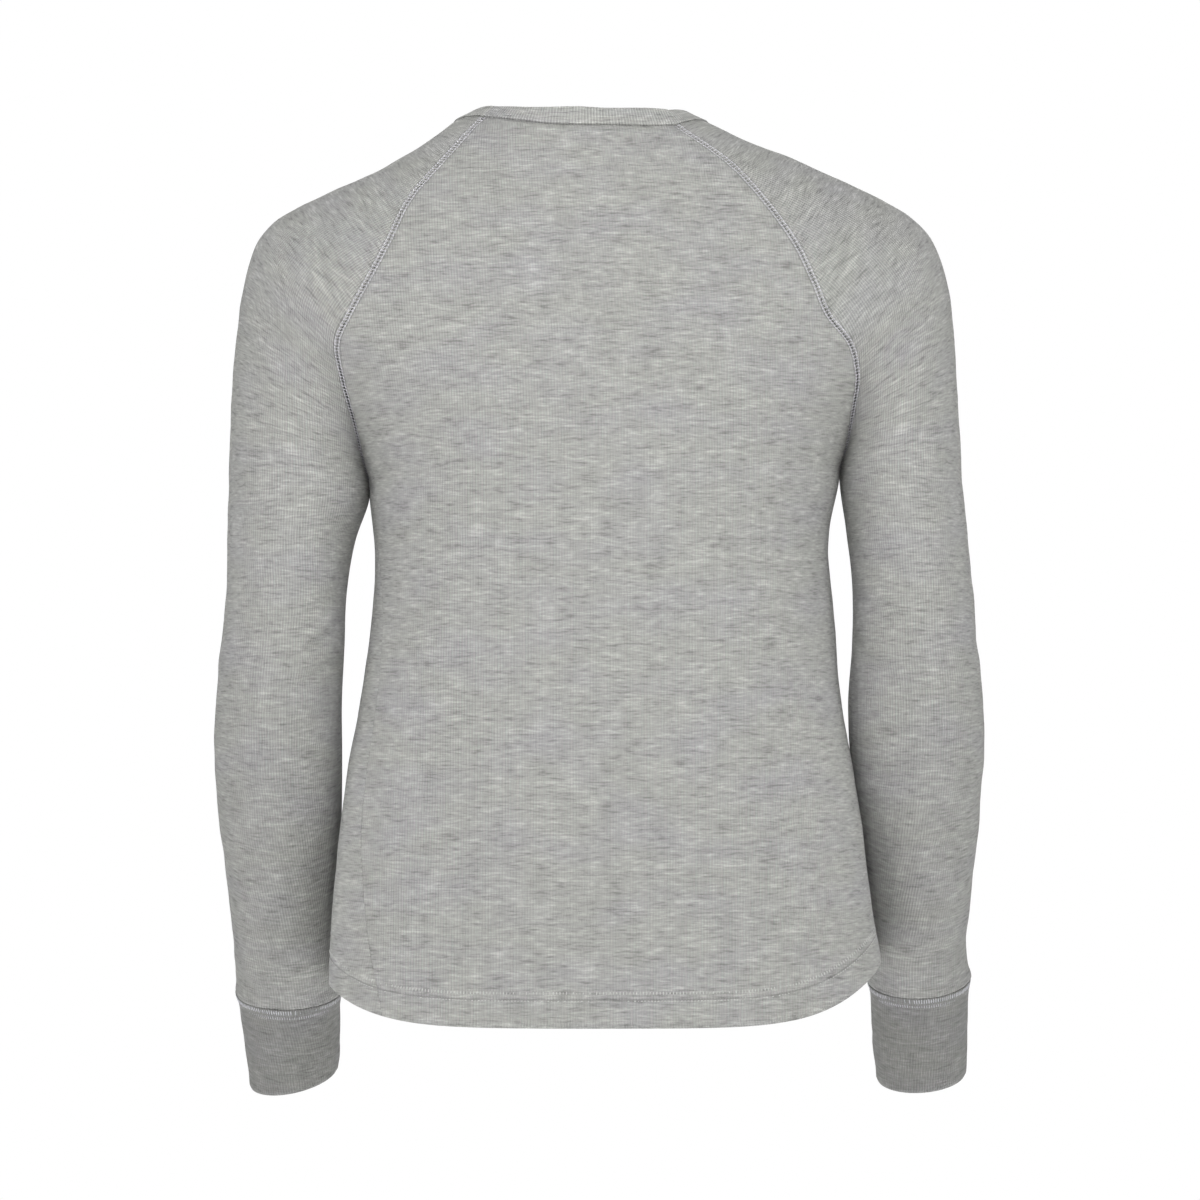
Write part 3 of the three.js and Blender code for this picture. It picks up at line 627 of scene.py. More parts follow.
def cloth_piece(name, outer, inner, across, down, to_seam, to_end, material):
    """Makes one closed piece from two grids of points in mm. across and down are its flat measures, and
    to_seam and to_end how far each point is from the stitched seam at its side and at its end."""
    rows, columns = outer.shape[0] - 1, outer.shape[1] - 1
    bm = bmesh.new()
    bmesh.ops.create_grid(bm, x_segments=columns, y_segments=rows, size=1)
    places = {}
    for vert in bm.verts:
        row = round((1 - vert.co.y) / 2 * rows)
        column = round((vert.co.x + 1) / 2 * columns)
        places[vert] = (row, column)
    uv = bm.loops.layers.uv.new("cloth")
    sewn = bm.loops.layers.uv.new("sewn")
    for face in bm.faces:
        for loop in face.loops:
            place = places[loop.vert]
            loop[uv].uv = (across[place] * MM, down[place] * MM)
            loop[sewn].uv = (to_seam[place] * MM, to_end[place] * MM)
    bm.normal_update()
    copied = bmesh.ops.duplicate(bm, geom=bm.faces[:])
    inner_faces = [item for item in copied["geom"] if isinstance(item, bmesh.types.BMFace)]
    bmesh.ops.reverse_faces(bm, faces=inner_faces)
    for vert, place in places.items():
        vert.co = outer[place] * MM
        copied["vert_map"][vert].co = inner[place] * MM
    corner, place = next(iter(places.items()))
    face = corner.link_faces[0]
    face.normal_update()
    if face.normal.dot(inner[place] - outer[place]) > 0:
        bmesh.ops.reverse_faces(bm, faces=bm.faces)
    bmesh.ops.remove_doubles(bm, verts=[v for v in bm.verts if v.is_boundary], dist=1e-6)
    edges = [edge for edge in bm.edges if edge.is_boundary]
    bridge_borders(bm, edges)
    bm.normal_update()
    return finish_piece(name, bm, material)


def bridge_borders(bm, edges):
    """Bridges each border of the outer layer with the nearest border of the inner one."""
    loops = []
    left = set(edges)
    while left:
        loop = [left.pop()]
        reach = list(loop[0].verts)
        while reach:
            vert = reach.pop()
            for edge in vert.link_edges:
                if edge in left:
                    left.discard(edge)
                    loop.append(edge)
                    reach.append(edge.other_vert(vert))
        loops.append(loop)
    while loops:
        loop = loops.pop()
        middle = np.mean([edge.verts[0].co for edge in loop], axis=0)
        middles = [np.mean([edge.verts[0].co for edge in other], axis=0) for other in loops]
        nearest = loops[int(np.argmin([np.linalg.norm(other - middle) for other in middles]))]
        loops.remove(nearest)
        bmesh.ops.bridge_loops(bm, edges=loop + nearest)


print("cloth helpers are ready")

# %% [markdown]
# The knit is a fine rib in marl yarn. Marl is spun from light, grey and faintly lilac fibres together, so
# each course shows short streaks that run across the ribs. Both the ribs and the courses follow the cloth,
# so the material reads the piece's own UV map, which is in metres. A second map says how far each place is
# from the sewing, where the thread sinks a groove whose darker colour is painted shade. Hundreds of ribs are
# far too fine to model, so they are a bump, with painted shade between them. Down the forearm the colour is
# darkened as painted shade, and the cuffs' darker grey is partly the denser rib and partly painted shade.

# %% Knit
WARM_GREY = (0.996, 1.0, 0.951)
LILAC_TINT = (0.975, 0.965, 1.015, 1)
LOOP_PITCH = 0.0013
SMOOTH = 0.3
STREAKS = [
    # length and height of a streak in metres, seed, detail
    (0.0068, 0.00115, 1.0, 2.0), (0.0145, 0.0025, 7.0, 2.0), (0.024, 0.0085, 19.0, 2.0),
    (0.05, 0.03, 13.0, 1.0),
]
MARL_SHARES = (0.42, 0.36, 0.22)
MARL_TONES = [
    # place in the marl's pattern, tone as a share of the middle grey
    (0.36, 0.6), (0.45, 0.9), (0.54, 1.06), (0.65, 1.44),
]
TINT_START = 0.42
TINT_GAIN = 3
RIB_BUMP = 0.5
LOOP_BUMP = 0.05
STREAK_BUMP = 0.5
LOOP_LEAN = 1.2
GROOVE_EVEN = 0.4
GROOVE_STREAKS = 1.2
RIB_EVEN = 0.3
RIB_CLUMPS = 1.4
KNITS = {
    # middle grey, pitch and height of the ribs in metres, painted shade between two ribs, each groove with its
    # painted shade as along what, distance from it and width in metres and shade, and for a sleeve where the
    # painted shade down the forearm starts and ends in metres, and how dark it gets there
    "knit": (0.37, 0.0018, 0.00035, 0.92, [
        ("side", 0.0027, 0.0005, 0.78), ("side", 0.0, 0.0004, 0.8), ("end", 0.0, 0.0006, 0.78),
    ], None),
    "sleeve": (0.405, 0.0018, 0.00045, 0.8, [
        ("side", 0.0027, 0.0005, 0.9), ("side", 0.0, 0.0004, 0.8),
    ], (0.36, 0.56, 0.82)),
    # The cuff's darker grey is partly the denser rib and partly painted shade, going on from the forearm's.
    "cuff": (0.235, 0.0018, 0.00045, 0.8, [("end", 0.0, 0.0006, 0.92)], None),
    # The neckband's lighter grey is painted light, for the light from above that the band's upward lean
    # catches.
    "neckband": (0.48, 0.002, 0.0006, 0.76, [("end", 0.0, 0.0004, 0.8)], None),
}


def grey(level):
    return tuple(level * part for part in WARM_GREY) + (1,)


def rib_knit(name, tone, rib_pitch, rib_height, rib_shade, grooves_with_painted_shade, painted_shade_down):
    """A marl rib knit, from a row of the table."""
    shader = Shader(name)
    place = shader.node("ShaderNodeUVMap", {"uv_map": "cloth"}, {})
    across = shader.node("ShaderNodeSeparateXYZ", {}, {"Vector": place}, output="X")
    down = shader.node("ShaderNodeSeparateXYZ", {}, {"Vector": place}, output="Y")

    def noise(length, height, seed, detail):
        stretched = {"X": across / length, "Y": down / height, "Z": seed}
        vector = shader.node("ShaderNodeCombineXYZ", {}, stretched)
        values = {"Vector": vector, "Scale": 1.0, "Detail": detail}
        return shader.node("ShaderNodeTexNoise", {"noise_dimensions": "3D"}, values)

    def multiply(factor, colour, other):
        settings = {"data_type": "RGBA", "blend_type": "MULTIPLY"}
        return shader.node("ShaderNodeMix", settings, {0: factor, 6: colour, 7: other}, output=2)

    streaks, long_streaks, clumps, patches = (noise(*row) for row in STREAKS)
    marl = streaks * MARL_SHARES[0] + long_streaks * MARL_SHARES[1] + clumps * MARL_SHARES[2]
    stops = [(position, grey(tone * share)) for position, share in MARL_TONES]
    yarn = shader.node("ShaderNodeValToRGB", {"stops": stops}, {"Fac": marl})
    tinted = multiply((patches - TINT_START) * TINT_GAIN, yarn, LILAC_TINT)
    # Painted shade: the colour darkens down the forearm, standing in for the shade the lower sleeve gets.
    if painted_shade_down:
        start, end, shade = painted_shade_down
        painted_shade_mask = (down - start) / (end - start)
        painted_shade_mask = painted_shade_mask.math("SMOOTH_MAX", 0.0, SMOOTH).math("SMOOTH_MIN", 1.0, SMOOTH)
        tinted = multiply(painted_shade_mask, tinted, (shade, shade, shade, 1))
    sewn = shader.node("ShaderNodeUVMap", {"uv_map": "sewn"}, {})
    sunk = 0.0
    # Each groove sinks the bump and darkens the colour: the darkening is painted shade along the seam.
    for along, distance, width, shade in grooves_with_painted_shade:
        axis = "X" if along == "side" else "Y"
        off = (shader.node("ShaderNodeSeparateXYZ", {}, {"Vector": sewn}, output=axis) - distance) / width
        line = (off * off * -1).math("EXPONENT") * (streaks * GROOVE_STREAKS + GROOVE_EVEN)
        sunk = line + sunk
        tinted = multiply(line, tinted, (shade, shade, shade, 1))
    rib = (across * (2 * math.pi / rib_pitch)).math("COSINE")
    loops = (down * (2 * math.pi / LOOP_PITCH) + rib * LOOP_LEAN).math("COSINE")
    height = rib * RIB_BUMP + loops * LOOP_BUMP + streaks * STREAK_BUMP - sunk
    bump = shader.node("ShaderNodeBump", {}, {"Strength": 1.0, "Distance": rib_height, "Height": height})
    between_ribs = (0.5 - rib * 0.5) * (clumps * RIB_CLUMPS + RIB_EVEN)
    shader.fill(shader.surface, {
        "Base Color": multiply(between_ribs, tinted, (rib_shade, rib_shade, rib_shade, 1)),
        "Roughness": 0.92,
        "Normal": bump,
        "Specular IOR Level": 0.15,
        "Sheen Weight": 0.12,
        "Sheen Roughness": 0.6,
    })
    return shader.material


knits = {name: rib_knit(f"marl rib {name}", *row) for name, row in KNITS.items()}
print("knit materials:", [material.name for material in knits.values()])

# %% [markdown]
# The two sleeves come first, because the panels meet them along the slanting raglan seams. Both pieces of
# a raglan seam turn in along one direction, halfway between their own, so their walls meet in a mitre. The
# courses of a sleeve run square to its own length, so its marl stands steeply on the shoulder.

# %% Rows and columns
HEM_DEPTH = 18
YOKE_ROWS = 62
BODY_ROWS = 90
PANEL_COLUMNS = 124
PANEL_EDGE = (0.003, 0.008)
ARM_ROWS = 100
SLEEVE_COLUMNS = 84
SLEEVE_EDGE = (0.004, 0.011)


def closing_in(count, ends):
    """Even steps from -1 to 1, with a few finer ones at both ends, where the cloth turns into a seam."""
    steps = np.linspace(-1, 1, count + 1)
    extra = [sign * (1 - end) for end in ends for sign in (-1, 1)]
    return np.unique(np.concatenate([steps, extra]))


panel_rows = np.concatenate([np.linspace(0, 1, YOKE_ROWS + 1), np.linspace(1, 2, BODY_ROWS + 1)[1:]])
panel_columns = closing_in(PANEL_COLUMNS, PANEL_EDGE)
last_course = len(sleeve_table["left"].rows) - 1
sleeve_rows = np.concatenate([
    np.linspace(0, UNDERARM_ROW, YOKE_ROWS + 1), np.linspace(UNDERARM_ROW, last_course, ARM_ROWS + 1)[1:],
])
sleeve_columns = closing_in(SLEEVE_COLUMNS, SLEEVE_EDGE)


def on_grid(surface, rows, columns):
    at, across = np.meshgrid(rows, columns, indexing="ij")
    return surface(at, across), at, across


def outward_from(surface):
    """The way from the line down the middle of a tube to its points."""
    return surface - surface.mean(axis=1, keepdims=True)


def seam_outs(name, side):
    """The shared way out along one raglan seam, one for each of a sleeve's yoke rows."""
    panel, _, _ = on_grid(lambda at, across: panel_point(name, at, across), panel_rows, panel_columns)
    panel_out = way_out(panel, points(0, FACE[name], 0))[: YOKE_ROWS + 1]
    sleeve, _, _ = on_grid(lambda at, around: sleeve_point(side, at, around), sleeve_rows, sleeve_columns)
    sleeve_out = way_out(sleeve, outward_from(sleeve))[: YOKE_ROWS + 1]
    column = -1 if side == "left" else 0
    both = panel_out[:, column] + sleeve_out[:, -1 if name == "back" else 0]
    both /= size_of(both)
    both[-1] = (0, 0, -1)
    return both


raglan_out = {(name, side): seam_outs(name, side) for name in FACE for side in SIGN}
print("rows of a panel:", len(panel_rows), "columns:", len(panel_columns))

# %% Sleeves
SEAM_DITCH = 0.35
SEAMS = {
    # strength of the puckers, do they ease away at the seam, strength and reach of the ditch
    "sleeve_raglan": (0.6, True, 1.0, 1.6),
    "underarm": (0.0, True, 0.6, 1.4),
    "sleeve_end": (0.5, True, 0.3, 1.4),
    "cuff_top": (0.4, True, 0.3, 1.4),
    "panel_raglan": (1.0, True, 1.3, 1.6),
    "side": (0.1, True, 0.3, 1.6),
    "hem_stitches": (0.35, False, 0.9, 1.6),
    "hem_edge": (0.0, False, 0.5, 1.2),
    "neckline": (0.0, False, 1.6, 1.8),
}
CUFF_RIDGE = 1.5
RIDGE_ABOVE = 5
RIDGE_BELOW = 6
SLEEVE_SWELL = 1.4
MITRE_LIMIT = 0.5


def sewn(seam, along, distance, shift):
    """What a seam does to the height of the cloth beside it, in mm: the thread puckers it and pulls it
    down into a ditch. Where two pieces meet, the puckers ease away again."""
    puckers, eased, ditch, reach = SEAMS[seam]
    height = puckers * pucker(along, distance, shift)
    if eased:
        height = height * np.minimum(1, distance / PUCKER_EASE)
    return height - ditch * SEAM_DITCH * bell(distance, reach)


def inner_layer(surface, out, thickness):
    """The inner layer of a piece, one thickness in along each way out."""
    own = way_out(surface, out)
    lean = np.maximum(MITRE_LIMIT, (own * out).sum(axis=-1, keepdims=True))
    return surface - out * thickness / lean


def close_ring(grid, first=0):
    """Makes a tube's last column the same as its first, from one row on."""
    grid[first:, -1] = grid[first:, 0]


def inset_edge(surface, edge, beside):
    """Half the seam's gap, from an edge towards the row or column beside it."""
    towards = surface[beside] - surface[edge]
    surface[edge] += towards / np.maximum(size_of(towards), 1e-9) * SEAM_GAP / 2


sleeve_surface = {}


def sleeve(side):
    base, at, around = on_grid(lambda a, r: sleeve_point(side, a, r), sleeve_rows, sleeve_columns)
    out = way_out(base, outward_from(base))
    tube = len(sleeve_rows) - YOKE_ROWS
    out[-tube:] = way_out(base, outward_from(base), closed=True)[-tube:]
    across, down = across_and_down(base)
    shift = WAVE_SHIFT[side]
    depth = fold_depth(folds[side], SLEEVE_SPAN, at, around)
    height = SLEEVE_SWELL * swell(across, down, shift) * away_from_sides(around) - depth
    to_seam = from_sides(across)
    yoke = (at <= UNDERARM_ROW).astype(float)
    height += yoke * sewn("sleeve_raglan", down, to_seam, shift)
    height += (1 - yoke) * sewn("underarm", down, to_seam, shift)
    to_cuff = down[[-1]] - down
    height += CUFF_RIDGE * bell(to_cuff, RIDGE_ABOVE) + sewn("sleeve_end", across, to_cuff, shift)
    surface = base + out * height[..., None]
    out[: YOKE_ROWS + 1, -1] = raglan_out["back", side]
    out[: YOKE_ROWS + 1, 0] = raglan_out["front", side]
    close_ring(surface, YOKE_ROWS + 1)
    close_ring(out, YOKE_ROWS + 1)
    yoke_part = surface[: YOKE_ROWS + 1]
    inset_edge(yoke_part, np.s_[:, 0], np.s_[:, 2])
    inset_edge(yoke_part, np.s_[:, -1], np.s_[:, -3])
    inset_edge(surface, np.s_[0], np.s_[1])
    inset_edge(surface, np.s_[-1], np.s_[-2])
    inner = inner_layer(surface, out, WALL)
    close_ring(inner, YOKE_ROWS + 1)
    sleeve_surface[side] = surface
    to_raglan = to_seam + FAR * (1 - yoke)
    course = np.broadcast_to(down.mean(axis=1, keepdims=True), down.shape)
    piece = cloth_piece(
        f"sleeve_{side}_cloth", surface, inner, across, course, to_raglan, to_cuff, knits["sleeve"],
    )
    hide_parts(f"sleeve_{side}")
    return piece, across, down


sleeves = {side: sleeve(side) for side in SIGN}

# %% [markdown]
# The panels are one layer of knit, with a hem that is turned up once and so is twice as thick. Their
# courses run level, whatever the neckline does, so the flat measures follow the level and not the row.

# %% Panels
HEM_PROUD = 0.25
panel_surface = {}


def panel(name):
    base, at, around = on_grid(lambda a, r: panel_point(name, a, r), panel_rows, panel_columns)
    out = way_out(base, points(0, FACE[name], 0))
    across, rows_down = across_and_down(base)
    middle = base.shape[1] // 2
    level = base[:, middle, 2]
    down = np.interp(-base[..., 2], -level, rows_down[:, middle])
    above = base[..., 2] > level[0]
    down = np.where(above, level[0] - base[..., 2], down) * np.where(above, -1, 1)
    shift = WAVE_SHIFT[name]
    depth = fold_depth(folds[name], PANEL_SPAN, at, around)
    height = (swell(across, down, shift) - depth) * away_from_sides(around) * np.minimum(1, 4 * at)
    to_seam = from_sides(across)
    yoke = (at <= 1).astype(float)
    height += yoke * sewn("panel_raglan", rows_down, to_seam, shift)
    height += (1 - yoke) * sewn("side", rows_down, to_seam, shift)
    to_hem = rows_down[[-1]] - rows_down
    to_stitches = to_hem - HEM_DEPTH
    hem = to_stitches < 0
    height += np.where(hem, HEM_PROUD, 0) + sewn("hem_stitches", across, to_stitches, shift)
    height += sewn("hem_edge", across, to_hem, shift) + sewn("neckline", across, rows_down, shift)
    surface = base + out * height[..., None]
    out[: YOKE_ROWS + 1, -1] = raglan_out[name, "left"]
    out[: YOKE_ROWS + 1, 0] = raglan_out[name, "right"]
    inset_edge(surface, np.s_[:, 0], np.s_[:, 2])
    inset_edge(surface, np.s_[:, -1], np.s_[:, -3])
    inset_edge(surface, np.s_[0], np.s_[1])
    thickness = np.where(hem, DOUBLE, WALL)[..., None]
    inner = inner_layer(surface, out, thickness)
    panel_surface[name] = surface
    to_raglan = to_seam + FAR * (1 - yoke)
    piece = cloth_piece(
        f"{name}_panel_cloth", surface, inner, across, down, to_raglan, to_stitches, knits["knit"],
    )
    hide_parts(f"{name}_panel")
    return piece, across, rows_down


panels = {name: panel(name) for name in FACE}

# %% [markdown]
# Each cuff is a strip of the rib folded double and closed by a short seam. Its lower edge is the fold, so
# it is round there.

# %% Cuffs
CUFF_ROWS = 20
CUFF_FINE_ROWS = [0.03, 2.96, 2.985]
CUFF_STILL = 8
FOLD_ROUNDING = 0.8
FOLD_REACH = 0.9
cuff_last = len(cuff_rows["left"])
cuff_steps = np.unique(np.concatenate([np.linspace(0, cuff_last, CUFF_ROWS + 1), CUFF_FINE_ROWS]))
cuff_surface = {}


def cuff(side):
    columns = np.linspace(-1, 1, SLEEVE_COLUMNS + 1)
    base, at, around = on_grid(lambda a, r: cuff_point(side, a, r), cuff_steps, columns)
    out = way_out(base, outward_from(base), closed=True)
    across, down = across_and_down(base)
    to_fold = down[[-1]] - down
    shift = CUFF_SHIFT[side]
    away_from_ends = np.minimum(1, to_fold / CUFF_STILL) * np.minimum(1, down / CUFF_STILL)
    height = SLEEVE_SWELL * swell(across, down, shift) * away_from_ends
    height += CUFF_RIDGE * bell(down, RIDGE_BELOW) + sewn("cuff_top", across, down, shift)
    height -= FOLD_ROUNDING * bell(to_fold, FOLD_REACH)
    surface = base + out * height[..., None]
    close_ring(surface)
    close_ring(out)
    inset_edge(surface, np.s_[0], np.s_[1])
    inner = inner_layer(surface, out, DOUBLE)
    close_ring(inner)
    cuff_surface[side] = surface
    nowhere = np.full(down.shape, float(FAR))
    piece = cloth_piece(
        f"cuff_{side}_cloth", surface, inner, across, down, nowhere, down, knits["cuff"],
    )
    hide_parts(f"cuff_{side}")
    return piece, across, down


cuffs = {side: cuff(side) for side in SIGN}

# %% [markdown]
# The neckband is one strip folded double, sewn round the whole neckline. It stands on the neckline and
# leans in over it, nearly flat on the shoulders and steeper at the front and back. Where the neckline dips
# behind, the band stands up straighter, so its top edge stays level.

# %% Neckband
BAND_HEIGHT = 14
BAND_LEAN = 31
BAND_SIDE_LEAN = 68
BAND_LEAN_SPREAD = 0.8
BAND_ROWS = 10
BAND_FINE_ROWS = [0.02, 0.04, 0.07, 0.93, 0.97, 0.99]
BAND_PROUD = 0.8
BAND_FLATTER = 0.4
BAND_FOOT = 0.04
BAND_ROUNDING = 0.9
BAND_FOLD = 0.05
OUT_PASSES = 6
ALONG_PASSES = 12
BAND_LIFTS = [(30, 26, 1.0), (-38, 26, 3.2)]


def neckline():
    """The neckline's points and ways out, anticlockwise from above, from the back's left seam."""
    parts = [
        reverse(panel_top("back")), reverse(sleeve_top("right")), panel_top("front"), sleeve_top("left"),
    ]
    at = np.concatenate([part[0][:-1] for part in parts])
    out = np.concatenate([part[1][:-1] for part in parts])
    return at, out


def reverse(part):
    return part[0][::-1], part[1][::-1]


def top_edge(base, outward, first, last):
    """A piece's top row and its ways out. first and last name the raglan seams at the row's ends."""
    out = way_out(base, outward)[0]
    out[0] = raglan_out[first][0]
    out[-1] = raglan_out[last][0]
    return base[0], out


def panel_top(name):
    base, _, _ = on_grid(lambda a, r: panel_point(name, a, r), panel_rows[:3], panel_columns)
    return top_edge(base, points(0, FACE[name], 0), (name, "right"), (name, "left"))


def sleeve_top(side):
    base, _, _ = on_grid(lambda a, r: sleeve_point(side, a, r), sleeve_rows[:3], sleeve_columns)
    return top_edge(base, points(0, 0, 1), ("front", side), ("back", side))


def even_out(loop, passes):
    for _ in range(passes):
        loop = (np.roll(loop, 1, axis=0) + 2 * loop + np.roll(loop, -1, axis=0)) / 4
    return loop


def neckband():
    at, out = neckline()
    out = even_out(out, OUT_PASSES)
    out /= size_of(out)
    along = np.roll(at, -1, axis=0) - np.roll(at, 1, axis=0)
    along = even_out(along / size_of(along), ALONG_PASSES)
    along /= size_of(along)
    inward = points(-along[:, 1], along[:, 0], 0)
    inward /= size_of(inward)
    centre = at.mean(axis=0)
    inward *= np.sign((inward * (centre - at)).sum(axis=-1, keepdims=True))
    sideways = np.abs(inward[:, [0]])
    lean = np.radians(BAND_LEAN + (BAND_SIDE_LEAN - BAND_LEAN) * sideways ** BAND_LEAN_SPREAD)
    up = inward * np.sin(lean) + points(0, 0, 1) * np.cos(lean)
    band_out = np.cross(along, up)
    band_out /= size_of(band_out)
    band_out *= -np.sign((band_out * inward).sum(axis=-1, keepdims=True))
    rises = np.unique(np.concatenate([np.linspace(0, 1, BAND_ROWS + 1), BAND_FINE_ROWS]))
    outer = []
    inner = []
    for rise in rises[::-1]:
        turned = out * (1 - rise) + band_out * rise
        turned /= size_of(turned)
        bulge = BAND_PROUD * (1 - bell(rise, BAND_FOOT)) * (1 - BAND_FLATTER * rise)
        fold = BAND_ROUNDING * bell(1 - rise, BAND_FOLD)
        face = at + up * (SEAM_GAP / 2 + (BAND_HEIGHT - SEAM_GAP / 2) * rise) + turned * bulge
        face += (lifted(at, BAND_LIFTS) - at) * rise
        outer.append(face - turned * fold)
        inner.append(face - turned * (DOUBLE - fold))
    outer = np.array(outer)
    inner = np.array(inner)
    outer = np.concatenate([outer, outer[:, :1]], axis=1)
    inner = np.concatenate([inner, inner[:, :1]], axis=1)
    across, down = across_and_down(outer)
    across[:] = across[-1]
    nowhere = np.full(down.shape, float(FAR))
    piece = cloth_piece(
        "neckband_cloth", outer, inner, across, down, nowhere, down[[-1]] - down, knits["neckband"],
    )
    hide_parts("neckband")
    return piece, across, down


band = neckband()

# %% [markdown]
# The sewing is what shows that this is a made thing. Twin needles run along each raglan seam and leave two
# rows of beads with a thread crossing between them. The hem has two fainter rows, and short bars hold each
# cuff. One bead is an operator's sphere with a few dozen faces, and a table row gives its size and turn. Its
# copies are set along the cloth's own surface as arrays and joined into one mesh, which is far quicker than
# one object for each stitch.

# %% Thread
BEAD_SIDES = 8
BEAD_RINGS = 5
THREAD_SHADE = 0.72


def thread_finish(name, colour):
    shader = Shader(name)
    place = shader.node("ShaderNodeTexCoord", {}, {}, output="Object")
    values = {"Vector": place, "Scale": 900.0, "Detail": 2.0}
    fuzz = shader.node("ShaderNodeTexNoise", {}, values)
    stops = [(0.3, tuple(part * THREAD_SHADE for part in colour) + (1,)), (0.65, colour + (1,))]
    tone = shader.node("ShaderNodeValToRGB", {"stops": stops}, {"Fac": fuzz})
    bump = shader.node("ShaderNodeBump", {}, {"Strength": 0.6, "Distance": 0.0002, "Height": fuzz})
    shader.fill(shader.surface, {
        "Base Color": tone, "Roughness": 0.7, "Normal": bump, "Specular IOR Level": 0.3,
    })
    return shader.material


def bead_template():
    bm = bmesh.new()
    bmesh.ops.create_uvsphere(bm, u_segments=BEAD_SIDES, v_segments=BEAD_RINGS, radius=0.5)
    mesh = bpy.data.meshes.new("bead")
    bm.to_mesh(mesh)
    bm.free()
    corners = np.array([vert.co for vert in mesh.vertices])
    faces = [list(polygon.vertices) for polygon in mesh.polygons]
    bpy.data.meshes.remove(mesh)
    return corners, faces


bead_corners, bead_faces = bead_template()
seam_thread = thread_finish("pale lilac thread", (0.61, 0.6, 0.64))
hem_thread = thread_finish("grey thread", (0.57, 0.57, 0.56))
cuff_thread = thread_finish("cuff thread", (0.56, 0.56, 0.6))
print("faces of one bead:", len(bead_faces))

# %% Rows of stitches
ROW_START = 0.5
ROW_END = 0.4
BEAD_WOBBLE = 0.12
WOBBLE_RATE = 2.4
SINK_WAVES = [
    # how fast the wave goes from stitch to stitch, how many times it is shifted, strength
    (1 / 9.7, 1, 0.3), (1 / 3.3, 2.2, 0.24), (2.7, 1, 0.2),
]


def offset_line(lines, outs, distance):
    """The point at a distance along each line, and the way out there."""
    both = zip(run_along(lines, 1), np.concatenate([lines, outs], axis=-1))
    read = np.array([[np.interp(distance, length, row[:, k]) for k in range(6)] for length, row in both])
    return read[:, :3], read[:, 3:]


def evenly(row, pitch):
    """Places on a line at an even pitch, with the ways along it and out of the cloth."""
    lengths = run_along(row[0], 0)
    places = np.arange(ROW_START * pitch, lengths[-1] - ROW_END * pitch, pitch)
    at, out = (
        np.stack([np.interp(places, lengths, part[:, k]) for k in range(3)], axis=-1) for part in row
    )
    along = np.gradient(at, axis=0)
    return at, along / size_of(along), out / size_of(out)


def uneven(count, shift):
    """How far each stitch of a row sinks into the cloth, from 0 to 1: some runs sink and others stand."""
    number = np.arange(count)
    waves = sum(strength * np.sin(number * rate + turns * shift) for rate, turns, strength in SINK_WAVES)
    return np.clip(0.5 + waves, 0, 1)


def beads(at, along, out, bead, shift=0.0):
    """The corners of one bead at each place. bead is its length, width and height in mm, its turn from
    the line in degrees, and the least and the most that it sinks into the cloth in mm."""
    long, wide, high, turn, least, most = bead
    side = np.cross(out, along)
    side /= size_of(side)
    angle = math.radians(turn)
    lengthways = along * math.cos(angle) + side * math.sin(angle)
    sideways = np.cross(out, lengthways)
    wobble = 1 + BEAD_WOBBLE * np.sin(np.arange(len(at)) * WOBBLE_RATE)[:, None, None]
    corners = bead_corners[None, :, 0, None] * lengthways[:, None] * long * wobble
    corners = corners + bead_corners[None, :, 1, None] * sideways[:, None] * wide
    corners = corners + bead_corners[None, :, 2, None] * out[:, None] * high
    sunk = least + (most - least) * uneven(len(at), shift)[:, None]
    return corners + (at + out * (high / 2 - sunk))[:, None]


def stitches(name, groups, material):
    """Joins groups of beads into one piece."""
    corners = np.concatenate([group.reshape(-1, 3) for group in groups]) * MM
    count = len(corners) // len(bead_corners)
    starts = np.arange(count) * len(bead_corners)
    faces = [[start + corner for corner in face] for start in starts.tolist() for face in bead_faces]
    mesh = bpy.data.meshes.new(name)
    mesh.from_pydata(corners.tolist(), [], faces)
    bm = bmesh.new()
    bm.from_mesh(mesh)
    bpy.data.meshes.remove(mesh)
    bmesh.ops.recalc_face_normals(bm, faces=bm.faces)
    finish_piece(name, bm, material)


def bars(name, lines, rows, pitch, thread):
    """One piece with rows of stitches. A row is how far along the lines it lies in mm, and its bead."""
    groups = []
    for distance, bead in rows:
        row = evenly(offset_line(*lines, distance), pitch)
        groups.append(beads(*row, bead, shift=distance))
    stitches(name, groups, thread)


print("stitch helpers are ready")

# %% [markdown]
# Each raglan seam carries one row of beads on the sleeve and one on the panel, a millimetre and a half from
# the join, with a crossing thread at each stitch. No hand feeds cloth quite evenly, so some runs of stitches
# sink into the knit and others stand up.

# %% Raglan stitches
SEAM_PITCH = 2.3
ROW_OFFSET = 1.55
SEAM_BEAD = (2.1, 0.95, 0.7, 8, 0.12, 0.5)
CROSSING_THREAD = (3.5, 0.55, 0.45, 14, 0.22, 0.45)


def seam_lines(surface, outward, from_last):
    """The yoke rows of a piece, with their ways out, as lines that start at one of its sides."""
    step = -1 if from_last else 1
    return [grid[: YOKE_ROWS + 1, ::step] for grid in (surface, way_out(surface, outward))]


